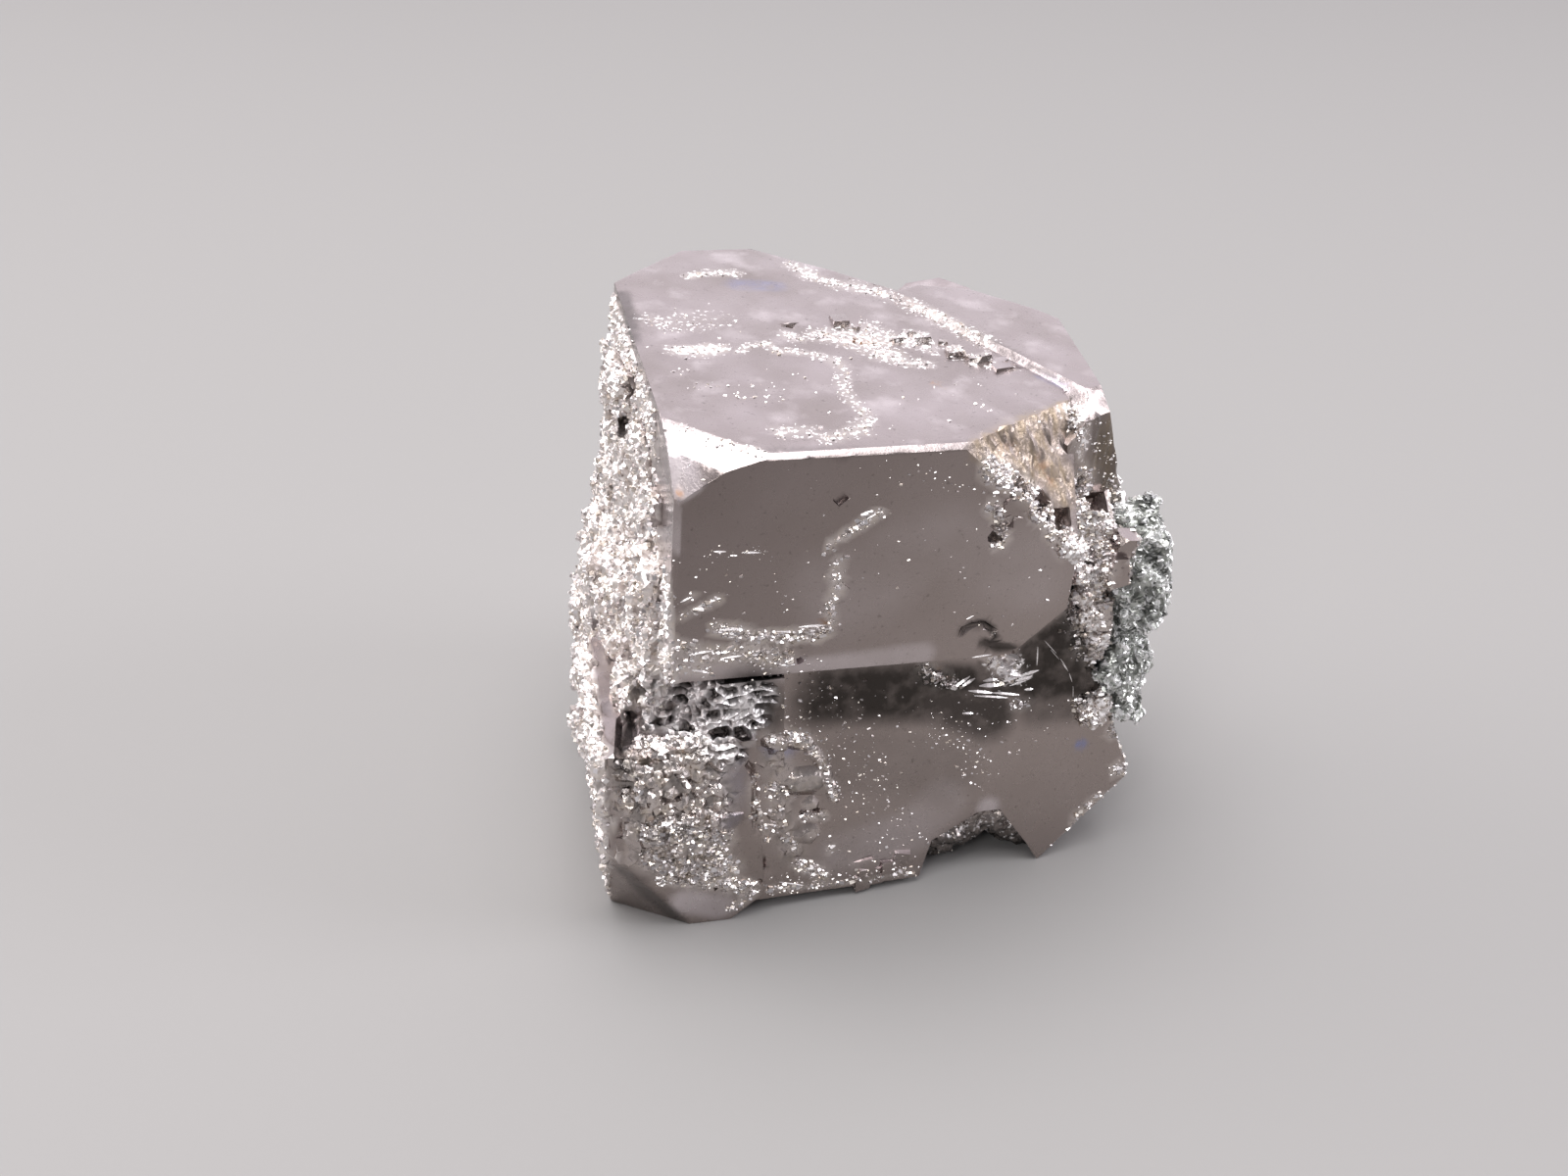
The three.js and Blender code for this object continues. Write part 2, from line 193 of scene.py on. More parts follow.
class Photo:
    # finds the place on a piece that the photograph shows at a pixel
    def __init__(self, piece):
        self.tree = BVHTree.FromPolygons(
            [v.co for v in piece.data.vertices], [p.vertices for p in piece.data.polygons])

    def find(self, pixel):
        focal = photo["lens"] / photo["sensor"] * photo["width"]
        across = (pixel[0] - photo["width"] / 2) / focal
        up = (photo["height"] / 2 - pixel[1]) / focal
        ray = camera.matrix_world.to_3x3() @ Vector((across, up, -1))
        hit, normal = self.tree.ray_cast(camera.location, ray)[:2]
        return None if hit is None else (hit / mm, normal)

    def path(self, pixels):
        found = [self.find(p) for p in pixels]
        return [f[0] for f in found if f is not None]

    def facing(self, pixels):
        found = [self.find(p) for p in pixels]
        return np.array(sum((f[1] for f in found if f is not None), Vector((0, 0, 0))).normalized())


def stroke(points, seen, strokes, flatness=0):
    # weights of brush strokes: each is pixels, reach in mm, and strength
    weights = np.zeros(len(points))
    for pixels, reach, strength in strokes:
        path = seen.path(pixels)
        if path:
            near = distanceToPath(points, path, seen.facing(pixels), flatness)
            weights = np.maximum(weights, strength * (1 - rise(near, brush["core"] * reach, reach)))
    return weights


# The pyrite crystals, with their faces as the CAD has them and their rough parts in relief.
pyrite = {
    "meshDepth": 8,              # cells of about 0.13 mm
    "meshShare": 0.99,           # of the mesh's grid that the piece fills
    "rounding": 0.5,             # of the edges, each time
    "roundings": 2,
    "plainKept": 0.04,           # of the triangles of the flat faces
    "longestEdge": 0.45,         # mm
    "halvings": 6,
    "faces": 185000,
    "smoothAngle": 24,           # degrees
    "flatWeight": 100,           # how far the flat faces rule the shading
    "grainHeight": 0.16,         # mm, as all heights, widths and depths below
    "grainWidth": 0.9,
    "grainDetail": 4.0,
    "grainOfTop": 0.3,           # share of the grain where the top glitters
    "warp": 0.5,                 # how far the net and the hummocks are pulled out of shape
    "warpWidth": 0.8,
    "netHeight": 0.34,
    "netWidth": 0.75,
    "netSquash": (0.75, 0.75, 1.35),
    "netSunk": 0.9,              # of its height, between the ridges
    "ridgeRise": 1.2,
    "ridgeWidth": 0.24,          # of a cell
    "hummockHeight": 0.3,
    "hummockWidth": 0.5,
    "hummockSteepness": 2.2,
    "hummocksOfLeft": 0.8,       # share of the hummocks on the left side
    "domeHeight": 0.32,
    "striaeHeight": 0.4,
    "striaeWidth": 0.55,
    "striaeDetail": 2.0,
    "striaeSquash": (1, 1, 0.12),
    "pitDepth": 0.8,
}

# Where the pyrite is granular. A weight rises from 0 to 1 between two values, in mm or of a normal.
regions = {
    "foot": (0.1, 1.05),         # the relief fades out above the resting facets
    "ledge": (11.5, 12.5),
    "leftUpper": ((-0.974, -0.225, 0), 11.8, 0.1),       # direction, distance and softness
    "leftLower": ((-0.985, -0.174, 0.03), 15.15, 0.1),
    "leftFacing": (0.5, 0.75),
    "leftPlace": (9.5, 10.5),
    "strip": (0.4, 0.9),         # depth under the top face
    "rightFacing": (0.55, 0.8),
    "rightPlace": (10.3, 11.3),
    "rightTop": (20, 22),
    "rightHidden": (-3, -1),
    "backFacing": (0.8, 0.9),
    "backPlace": (2, 5),
    "backDepth": (1.2, 1.8),
    "backShare": 0.7,
    "underFacing": (0.85, 0.95),
    "underPlace": (-6, -4),
    "underShare": 0.6,
    "striaeOfLeft": 0.8,
    "shadeOfCracks": 0.7,
}

# Strokes on the photograph: pixels, reach in mm, strength.
marks = {
    # three places on the top face, which give its plane
    "topFace": [(700, 430), (1000, 430), (760, 300)],
    # bright clusters of small crystals on the upright faces
    "grainMarks": [
        ([(1010, 478), (1030, 490), (1050, 505), (1066, 525), (1080, 545), (1090, 560)], 0.75, 1),
        ([(1014, 516), (1022, 535), (1020, 555)], 0.5, 0.9),
        ([(731, 642), (768, 648), (811, 650), (840, 646)], 0.5, 1),
        ([(688, 660), (715, 668), (764, 668), (800, 672)], 0.7, 0.7),
        ([(690, 682), (722, 686)], 0.4, 0.6),
        ([(680, 622), (706, 609)], 0.26, 0.8),
        ([(684, 632), (733, 611)], 0.26, 0.8),
        ([(898, 522), (872, 540), (845, 556)], 0.3, 0.9),
        ([(856, 573), (851, 587), (858, 597), (851, 609), (845, 620), (851, 634)], 0.28, 0.9),
        ([(942, 683), (950, 691), (974, 697)], 0.5, 0.9),
        ([(1015, 674), (1030, 678), (1030, 690), (1018, 694)], 0.55, 0.3),
        ([(1034, 718), (1048, 718)], 0.35, 0.8),
        ([(786, 753), (800, 752), (820, 754)], 0.5, 1),
        ([(820, 755), (836, 773), (845, 796), (851, 814)], 0.3, 0.9),
        ([(786, 802), (800, 806)], 0.4, 1),
        ([(818, 834), (838, 832)], 0.35, 1),
        ([(803, 855), (808, 862)], 0.4, 0.8),
        ([(816, 882), (826, 886), (838, 893)], 0.5, 1),
        ([(848, 866)], 0.3, 0.9),
        ([(770, 800), (775, 830), (782, 850), (795, 840), (790, 815)], 0.7, 0.35),
        ([(652, 757), (680, 760), (714, 756)], 0.45, 1),
        ([(668, 848), (700, 852), (730, 858)], 1.2, 1),
        ([(672, 872), (705, 880), (738, 886)], 1.2, 1),
        ([(680, 895), (715, 897), (765, 905)], 0.7, 1),
        ([(750, 925), (765, 915)], 0.4, 0.6),
        ([(955, 876), (985, 852), (1008, 832), (1030, 846), (1052, 872)], 1.0, 1),
        ([(1138, 745), (1148, 765)], 0.6, 1),
        ([(1140, 785), (1148, 800)], 0.6, 1),
        ([(1120, 812), (1095, 838)], 0.35, 0.6),
        ([(1100, 500), (1115, 530), (1112, 580), (1108, 620)], 1.5, 1),
        ([(1108, 620), (1112, 655), (1125, 690), (1140, 715)], 1.5, 1),
        ([(1098, 600), (1101, 630), (1107, 662)], 0.5, 1),
        ([(1101, 714), (1122, 711)], 0.5, 1),
        ([(1103, 720), (1104, 736)], 0.5, 1),
        ([(1096, 415), (1100, 445)], 0.35, 0.5),
        ([(784, 908), (850, 902), (930, 890)], 0.25, 0.7),
    ],
    # glittering patches of finer crystals on the top, whose sparkle the material also paints white as
    # highlight
    "topMarks": [
        ([(692, 357), (712, 358), (733, 356)], 0.6, 1),
        ([(752, 359), (770, 351), (784, 350), (788, 358), (815, 359), (835, 362), (850, 368)], 0.22, 0.7),
        ([(850, 368), (860, 374), (863, 384), (859, 395), (866, 404), (874, 414), (882, 423)], 0.32, 0.5),
        ([(882, 423), (887, 432), (880, 440)], 0.4, 0.55),
        ([(840, 342), (862, 345), (885, 352), (905, 362)], 0.9, 0.7),
        ([(862, 335), (885, 345)], 0.8, 0.6),
        ([(885, 333), (915, 343), (945, 348), (975, 352), (1000, 362)], 1.0, 0.62),
        ([(928, 314), (960, 324), (990, 337), (1006, 347)], 0.8, 0.42),
        ([(965, 362), (1000, 370), (1034, 378)], 0.35, 0.5),
        ([(916, 368), (945, 372)], 0.5, 0.8),
        ([(870, 291), (895, 296), (912, 304)], 0.7, 0.6),
        ([(705, 281), (721, 279), (749, 279)], 0.45, 0.8),
        ([(808, 270), (833, 285), (858, 291)], 0.5, 0.7),
        ([(802, 341), (816, 347)], 0.4, 0.8),
        ([(796, 440), (825, 441)], 0.5, 0.55),
        ([(843, 447), (866, 441), (885, 432)], 0.5, 0.6),
        ([(682, 436), (695, 439), (723, 450), (753, 458), (780, 462)], 0.4, 0.7),
        ([(700, 330), (730, 325)], 1.2, 0.12),
        ([(660, 324), (680, 332)], 0.5, 0.3),
        ([(1014, 672), (1034, 676), (1026, 690), (1042, 688)], 0.6, 1),
        ([(1100, 500), (1112, 540), (1108, 600), (1112, 650), (1125, 690)], 1.5, 0.62),
        ([(1097, 420), (1106, 440), (1104, 460)], 0.8, 0.75),
    ],
    "netMarks": [
        ([(692, 712), (725, 708), (775, 712)], 1.2, 1),
        ([(692, 738), (725, 738), (765, 735)], 1.3, 1),
        ([(725, 760), (750, 770)], 0.9, 0.8),
        ([(660, 700), (668, 735)], 1.0, 0.7),
    ],
    "hummockMarks": [
        ([(650, 785), (690, 785), (720, 780)], 2.0, 1),
        ([(652, 812), (690, 815), (722, 815)], 2.0, 1),
        ([(665, 840), (715, 840)], 1.8, 1),
        ([(665, 870), (720, 880)], 2.0, 0.7),
        ([(655, 700), (665, 740)], 1.0, 0.6),
        ([(785, 770), (800, 790), (795, 830), (810, 870)], 1.0, 0.5),
    ],
    # lumps that stand out of the lower crystals
    "domeMarks": [
        ([(813, 797), (829, 795)], 0.95, 1),
        ([(826, 821)], 0.6, 0.7),
        ([(826, 850)], 0.7, 0.7),
        ([(820, 755), (836, 773), (845, 796), (851, 814)], 0.4, 0.6),
        ([(786, 756), (818, 757)], 0.55, 0.8),
        ([(650, 757), (714, 757)], 0.5, 0.8),
    ],
    "striaeMarks": [
        ([(1010, 450), (1050, 450), (1085, 440)], 1.3, 0.5),
        ([(1060, 480), (1085, 480)], 1.2, 0.5),
        ([(1115, 440), (1130, 490)], 1.4, 0.7),
        ([(625, 810), (632, 850), (645, 880)], 0.9, 0.8),
    ],
    "pitMarks": [
        ([(984, 642), (1002, 637), (1012, 644)], 0.25, 0.2),
        ([(1004, 657), (1034, 663)], 0.3, 0.12),
        ([(774, 669)], 0.25, 0.4),
        ([(817, 675)], 0.25, 0.5),
        ([(805, 332)], 0.3, 0.6),
        ([(931, 341)], 0.35, 0.6),
        ([(1040, 493), (1047, 503)], 0.4, 0.9),
        ([(1061, 519)], 0.35, 0.8),
        ([(1072, 530)], 0.35, 0.9),
        ([(1102, 495)], 0.6, 1),
        ([(1018, 550)], 0.35, 0.6),
        ([(820, 828), (834, 828)], 0.22, 0.5),
        ([(638, 400), (640, 430)], 0.5, 0.7),
        ([(655, 690), (660, 720)], 0.7, 0.6),
        ([(640, 735), (638, 770)], 0.6, 0.5),
        ([(764, 780), (772, 800), (770, 835), (779, 885), (775, 900)], 0.22, 0.25),
        ([(731, 906)], 0.2, 0.5),
    ],
    # single small crystals, thinly spread
    "speckMarks": [
        ([(1122, 440), (1138, 500)], 1.0, 0.8),
        ([(800, 690), (830, 720), (860, 750), (880, 800), (910, 850)], 2.4, 0.6),
        ([(960, 745), (985, 760), (1000, 790)], 1.2, 0.9),
        ([(1020, 735), (1035, 760)], 0.8, 0.5),
        ([(890, 720), (950, 740), (1000, 730)], 2.2, 0.25),
        ([(1000, 760), (1110, 720)], 2.5, 0.08),
        ([(800, 740), (900, 880)], 4.0, 0.12),
        ([(785, 905), (850, 893), (930, 880)], 0.8, 0.7),
        ([(720, 564), (776, 565)], 0.4, 0.8),
        ([(690, 572), (692, 582)], 0.3, 0.8),
        ([(700, 600), (800, 600)], 2.4, 0.12),
        ([(930, 480), (1000, 505), (1015, 500)], 0.9, 0.45),
        ([(860, 560), (1060, 600)], 4.0, 0.05),
        ([(695, 480), (1000, 480)], 1.2, 0.06),
        ([(670, 330), (690, 336)], 0.5, 0.6),
        ([(682, 380), (698, 380)], 0.35, 0.9),
        ([(694, 394), (723, 395), (755, 394), (790, 396)], 0.4, 0.8),
        ([(740, 401), (771, 407), (790, 407)], 0.4, 0.7),
        ([(985, 405), (1013, 420)], 0.4, 0.9),
        ([(955, 395), (977, 392)], 0.4, 0.6),
        ([(880, 325), (900, 330)], 0.4, 0.5),
        ([(700, 330), (1000, 430)], 6.0, 0.03),
    ],
    "rustMarks": [
        ([(1062, 476), (1072, 490)], 0.5, 0.5),
        ([(1020, 447), (1035, 455)], 0.5, 0.25),
        ([(870, 347), (878, 350)], 0.4, 1),
        ([(964, 687)], 0.3, 0.8),
        ([(692, 505)], 0.4, 0.7),
        ([(842, 633)], 0.3, 0.8),
        ([(955, 391), (965, 395)], 0.3, 0.6),
        ([(663, 833)], 0.22, 0.9),
    ],
    # dull brown bloom: the near right corner and the right crystal's side
    "bloomMarks": [
        ([(1005, 458), (1040, 440), (1082, 425)], 1.4, 0.9),
        ([(1030, 480), (1070, 470), (1085, 500)], 1.4, 0.9),
        ([(1128, 440), (1138, 500)], 1.2, 1),
        ([(1120, 450), (1124, 510)], 0.7, 0.8),
        ([(1108, 470), (1112, 500)], 0.5, 0.5),
    ],
    # painted shade: darker colour under the ledge, in the hollows and recesses, and on some bevels, where it
    # dims their reflection
    "shadeMarks": [
        ([(768, 712), (850, 708), (925, 706)], 2.8, 1),
        ([(900, 712), (960, 712), (1010, 730)], 2.2, 0.9),
        ([(935, 695), (985, 694)], 1.4, 1),
        ([(1000, 704), (1050, 698)], 1.0, 1),
        ([(1050, 680), (1080, 668), (1100, 655)], 1.7, 1),
        ([(1050, 372), (1078, 388)], 0.3, 0.3),
        ([(1087, 400), (1090, 432)], 0.2, 0.9),
        ([(1060, 700), (1095, 690), (1108, 700)], 1.8, 1),
        ([(1000, 680), (1010, 688)], 0.5, 0.7),
        ([(655, 690), (668, 740)], 1.0, 0.8),
        ([(640, 730), (637, 780)], 0.8, 0.9),
        ([(640, 890), (665, 915), (690, 935)], 1.0, 0.6),
        ([(1003, 655), (1016, 660), (1034, 662)], 0.4, 1),
        ([(981, 645), (990, 637), (1004, 636), (1012, 642), (1018, 654)], 0.26, 1),
        ([(870, 775), (960, 782)], 3.0, 0.22),
        ([(1100, 430), (1125, 412)], 0.9, 0.7),
        ([(1125, 445), (1136, 500)], 1.6, 0.6),
        ([(1060, 720), (1100, 715)], 1.8, 0.6),
        ([(1060, 690), (1090, 672)], 1.8, 1),
        ([(1050, 668), (1064, 656), (1080, 645), (1090, 636)], 1.2, 1),
        ([(1086, 640), (1098, 628)], 0.9, 1),
        ([(810, 800), (830, 800)], 0.7, 0.4),
        ([(1094, 405), (1092, 440)], 0.25, 0.8),
        ([(790, 459), (900, 463), (985, 456)], 0.6, 0.25),
        ([(985, 335), (1020, 352), (1045, 368)], 0.4, 0.4),
        ([(1110, 401), (1121, 396)], 0.15, 0.8),
    ],
    # painted sheen: paler patches where the faces look brighter lit
    "paleMarks": [
        ([(690, 470), (700, 500)], 1.2, 1),
        ([(690, 520), (690, 560)], 0.5, 0.5),
        ([(700, 685), (780, 688), (850, 680), (940, 668)], 1.0, 0.5),
        ([(860, 600), (960, 560), (1060, 580)], 3.5, 0.15),
        ([(700, 920), (735, 925)], 1.2, 0.9),
        ([(860, 870), (930, 850), (960, 820)], 2.0, 0.35),
        ([(1102, 425), (1106, 460)], 0.9, 1),
        ([(630, 600), (633, 680)], 1.0, 0.6),
        ([(960, 862), (985, 842), (1008, 824), (1035, 846)], 0.9, 0.8),
    ],
    # cracks in the granular left side: no crystals grow on them, and painted shade darkens them
    "crackMarks": [
        ([(636, 300), (644, 335), (652, 375)], 0.55, 0.8),
        ([(637, 436), (641, 470), (648, 515), (650, 550)], 0.22, 1),
        ([(626, 420), (634, 432), (634, 446)], 0.4, 0.8),
        ([(612, 500), (616, 560)], 0.25, 0.5),
        ([(640, 590), (642, 640)], 0.2, 0.6),
        ([(617, 720), (612, 800)], 0.3, 0.7),
    ],
    # tarnish that is thin enough to show a trace of blue
    "blueMarks": [
        ([(752, 290), (790, 292)], 0.9, 0.4),
        ([(1103, 760)], 0.48, 1),
        ([(788, 765), (802, 766)], 0.6, 0.8),
        ([(745, 790), (740, 840)], 1.2, 0.3),
        ([(1060, 385), (1085, 395)], 0.5, 0.3),
    ],
}


def beyond(points, direction, distance, softness):
    return rise(points @ np.array(direction), distance - softness, distance + softness)


def paintPyrite(piece, seen):
    points, normals = pointsOf(piece), normalsOf(piece)
    x, y, z = points.T
    aboveFoot = rise(z, *regions["foot"])
    aboveLedge = rise(z, *regions["ledge"])
    leftUpper = beyond(points, *regions["leftUpper"]) * aboveLedge
    leftLower = beyond(points, *regions["leftLower"]) * (1 - aboveLedge)
    leftFacing = rise(-normals[:, 0], *regions["leftFacing"]) * rise(-x, *regions["leftPlace"])
    # smooth strip along the edges of the top face
    corners = seen.path(marks["topFace"])
    upward = (corners[1] - corners[0]).cross(corners[2] - corners[0]).normalized()
    depth = (np.array(corners[0]) - points) @ np.array(upward)
    belowTop = rise(depth, *regions["strip"])
    rightFacing = rise(normals[:, 0], *regions["rightFacing"]) * rise(x, *regions["rightPlace"])
    rightFacing = rightFacing * (1 - rise(z, *regions["rightTop"]))
    backFacing = rise(normals[:, 1], *regions["backFacing"]) * rise(y, *regions["backPlace"])
    backFacing = regions["backShare"] * backFacing * rise(depth, *regions["backDepth"])
    under = rise(-normals[:, 2], *regions["underFacing"]) * rise(y, *regions["underPlace"])
    under = regions["underShare"] * under
    cracks = stroke(points, seen, marks["crackMarks"])
    left = np.maximum.reduce([leftUpper, leftLower, leftFacing]) * belowTop * (1 - cracks)
    clusters = stroke(points, seen, marks["grainMarks"])
    grain = np.maximum.reduce([left, rightFacing, backFacing, under, clusters])
    hidden = np.maximum.reduce([backFacing, under, rightFacing * rise(y, *regions["rightHidden"])])
    striae = np.maximum(stroke(points, seen, marks["striaeMarks"]), regions["striaeOfLeft"] * left)
    store(piece, "front", np.clip(grain - left - hidden, 0, 1) * aboveFoot)
    store(piece, "hidden", np.clip(hidden - left, 0, 1) * aboveFoot)
    store(piece, "grain", grain * aboveFoot)
    store(piece, "left", left * aboveFoot)
    store(piece, "striae", striae * aboveFoot)
    for name in ("net", "hummock", "dome", "pit", "speck"):
        store(piece, name, stroke(points, seen, marks[name + "Marks"]))
    for name in ("top", "rust", "bloom", "shade", "blue", "pale"):
        store(piece, name, stroke(points, seen, marks[name + "Marks"], brush["ownFace"]))
    # painted shade in the cracks
    store(piece, "shade", np.maximum(valuesOf(piece, "shade"), regions["shadeOfCracks"] * cracks))


def newGeometryTree(name):
    tree = bpy.data.node_groups.new(name, "GeometryNodeTree")
    tree.interface.new_socket("Geometry", in_out="INPUT", socket_type="NodeSocketGeometry")
    tree.interface.new_socket("Geometry", in_out="OUTPUT", socket_type="NodeSocketGeometry")
    return tree, addNode(tree, "NodeGroupInput")


def domed(tree, distance, steepness):
    # 1 in the middle of a cell, falling in a curve to 0 at its rim
    steeper = addNode(tree, "MULTIPLY", {0: distance, 1: -steepness})
    return addNode(tree, "MULTIPLY_ADD", {0: distance, 1: steeper, 2: 1.0}, use_clamp=True)


def mottled(tree, place, width, detail, contrast=1.0, level=0.0, clamp=False):
    # noise of -1 to 1 whose lumps are about this wide, in mm, times the contrast, plus the level
    texture = addNode(tree, "ShaderNodeTexNoise",
                      {"Vector": place, "Scale": 1 / (width * mm), "Detail": detail})
    centred = addNode(tree, "MULTIPLY_ADD", {0: texture, 1: 2.0, 2: -1.0})
    return addNode(tree, "MULTIPLY_ADD", {0: centred, 1: contrast, 2: level}, use_clamp=clamp)


def strongest(tree, first, others):
    # the highest of the first weight and the others, each of which is times its share
    for other, share in others:
        scaled = addNode(tree, "MULTIPLY", {0: other, 1: share})
        first = addNode(tree, "MAXIMUM", {0: first, 1: scaled})
    return first


def moveAlongNormals(tree, geometry, height):
    # the tree's output, moved outwards by a height in mm
    metres = addNode(tree, "MULTIPLY", {0: height, 1: mm})
    normal = addNode(tree, "GeometryNodeInputNormal")
    offset = addNode(tree, "ShaderNodeVectorMath", {0: normal, "Scale": metres}, operation="SCALE")
    moved = addNode(tree, "GeometryNodeSetPosition", {"Geometry": geometry, "Offset": offset})
    addNode(tree, "NodeGroupOutput", {0: moved})


def reliefTree():
    tree, geometry = newGeometryTree("pyriteRelief")
    place = addNode(tree, "GeometryNodeInputPosition")
    names = ("grain", "top", "left", "net", "hummock", "dome", "striae", "pit")
    painted = {name: addNode(tree, "GeometryNodeInputNamedAttribute", {"Name": name}, data_type="FLOAT")
               for name in names}

    lumps = mottled(tree, place, pyrite["grainWidth"], pyrite["grainDetail"])
    rough = addNode(tree, "MULTIPLY_ADD", {0: painted["top"], 1: pyrite["grainOfTop"], 2: painted["grain"]})
    grain = addNode(tree, "MULTIPLY", {0: lumps, 1: rough})

    warp = addNode(tree, "ShaderNodeTexNoise", {"Vector": place, "Scale": 1 / (pyrite["warpWidth"] * mm)})
    reach = (pyrite["warp"] * mm,) * 3
    warped = addNode(tree, "ShaderNodeVectorMath", {0: warp.outputs["Color"], 1: reach, 2: place},
                     operation="MULTIPLY_ADD")

    # round hummocks, steep enough for their tops to catch the light from above
    centres = addNode(tree, "ShaderNodeTexVoronoi",
                      {"Vector": warped, "Scale": 1 / (pyrite["hummockWidth"] * mm)}).outputs["Distance"]
    lumpy = strongest(tree, painted["hummock"], [(painted["left"], pyrite["hummocksOfLeft"])])
    swell = addNode(tree, "MULTIPLY", {0: domed(tree, centres, pyrite["hummockSteepness"]), 1: lumpy})

    # warped cells whose borders stand up as a net of ridges
    squashed = addNode(tree, "ShaderNodeVectorMath", {0: warped, 1: pyrite["netSquash"]},
                       operation="MULTIPLY")
    cells = addNode(tree, "ShaderNodeTexVoronoi",
                    {"Vector": squashed, "Scale": 1 / (pyrite["netWidth"] * mm)}, feature="DISTANCE_TO_EDGE")
    ridge = addNode(tree, "ShaderNodeMapRange",
                    {"Value": cells.outputs["Distance"], "From Min": 0.0, "From Max": pyrite["ridgeWidth"],
                     "To Min": 1.0, "To Max": 0.0}, interpolation_type="SMOOTHSTEP")
    raised = addNode(tree, "MULTIPLY_ADD", {0: ridge, 1: pyrite["ridgeRise"], 2: -pyrite["netSunk"]})
    net = addNode(tree, "MULTIPLY", {0: raised, 1: painted["net"]})
    netRidge = addNode(tree, "MULTIPLY", {0: ridge, 1: painted["net"]})

    upright = addNode(tree, "ShaderNodeVectorMath", {0: place, 1: pyrite["striaeSquash"]},
                      operation="MULTIPLY")
    ribs = mottled(tree, upright, pyrite["striaeWidth"], pyrite["striaeDetail"])
    ribs = addNode(tree, "MULTIPLY", {0: ribs, 1: painted["striae"]})

    total = 0.0
    for part, height in ((grain, pyrite["grainHeight"]), (swell, pyrite["hummockHeight"]),
                         (net, pyrite["netHeight"]), (ribs, pyrite["striaeHeight"]),
                         (painted["dome"], pyrite["domeHeight"]), (painted["pit"], -pyrite["pitDepth"])):
        total = addNode(tree, "MULTIPLY_ADD", {0: part, 1: height, 2: total})
    for name, value in (("ridge", netRidge), ("swell", swell)):
        geometry = addNode(tree, "GeometryNodeStoreNamedAttribute",
                           {"Geometry": geometry, "Name": name, "Value": value}, data_type="FLOAT")
    moveAlongNormals(tree, geometry, total)
    return tree


def decimate(piece, chosen, ratio):
    # fewer triangles, only at the chosen points
    group = piece.vertex_groups.new(name="fewer")
    group.add(np.flatnonzero(chosen).tolist(), 1.0, "REPLACE")
    applyModifier(piece, "fewerFaces", "DECIMATE", ratio=ratio, vertex_group="fewer")
    piece.vertex_groups.clear()


def halveLongEdges(piece):
    for halving in range(pyrite["halvings"]):
        points = pointsOf(piece)
        ends = np.empty(len(piece.data.edges) * 2, np.int32)
        piece.data.edges.foreach_get("vertices", ends)
        along = points[ends[0::2]] - points[ends[1::2]]
        tooLong = np.sqrt((along * along).sum(1)) > pyrite["longestEdge"]
        only(piece)
        bpy.ops.object.mode_set(mode="EDIT")
        bpy.ops.mesh.select_mode(type="EDGE")
        bpy.ops.mesh.select_all(action="DESELECT")
        bpy.ops.object.mode_set(mode="OBJECT")
        piece.data.edges.foreach_set("select", tooLong)
        bpy.ops.object.mode_set(mode="EDIT")
        bpy.ops.mesh.subdivide(number_cuts=1)
        bpy.ops.mesh.select_all(action="SELECT")
        bpy.ops.mesh.quads_convert_to_tris()
        bpy.ops.object.mode_set(mode="OBJECT")


def roughOf(piece):
    names = ("grain", "top", "net", "hummock", "dome", "pit", "striae")
    return np.maximum.reduce([valuesOf(piece, name) for name in names])


def makePyrite():
    piece = copyOfNode("pyrite_crystals", "pyriteBody")
    seen = Photo(piece)
    applyModifier(piece, "remesh", "REMESH", mode="SHARP", octree_depth=pyrite["meshDepth"],
                  scale=pyrite["meshShare"], use_remove_disconnected=False)
    applyModifier(piece, "edges", "SMOOTH", factor=pyrite["rounding"], iterations=pyrite["roundings"])
    paintPyrite(piece, seen)
    plain = roughOf(piece) == 0
    decimate(piece, plain, 1 - plain.mean() * (1 - pyrite["plainKept"]))
    halveLongEdges(piece)
    paintPyrite(piece, seen)
    print("pyriteBody", len(piece.data.polygons), "faces before its relief")
    applyModifier(piece, "relief", "NODES", node_group=reliefTree())
    print("pyrite relief made")
    return piece, seen


def finishPyrite(piece, material):
    decimate(piece, roughOf(piece) > 0, pyrite["faces"] / len(piece.data.polygons))
    only(piece)
    bpy.ops.object.shade_smooth_by_angle(angle=math.radians(pyrite["smoothAngle"]))
    applyModifier(piece, "flatFaces", "WEIGHTED_NORMAL", keep_sharp=True, weight=pyrite["flatWeight"])
    piece.data.materials.append(material)
    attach(piece, "root")
    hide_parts("pyrite_crystals")
    print("pyriteBody", len(piece.data.polygons), "faces")


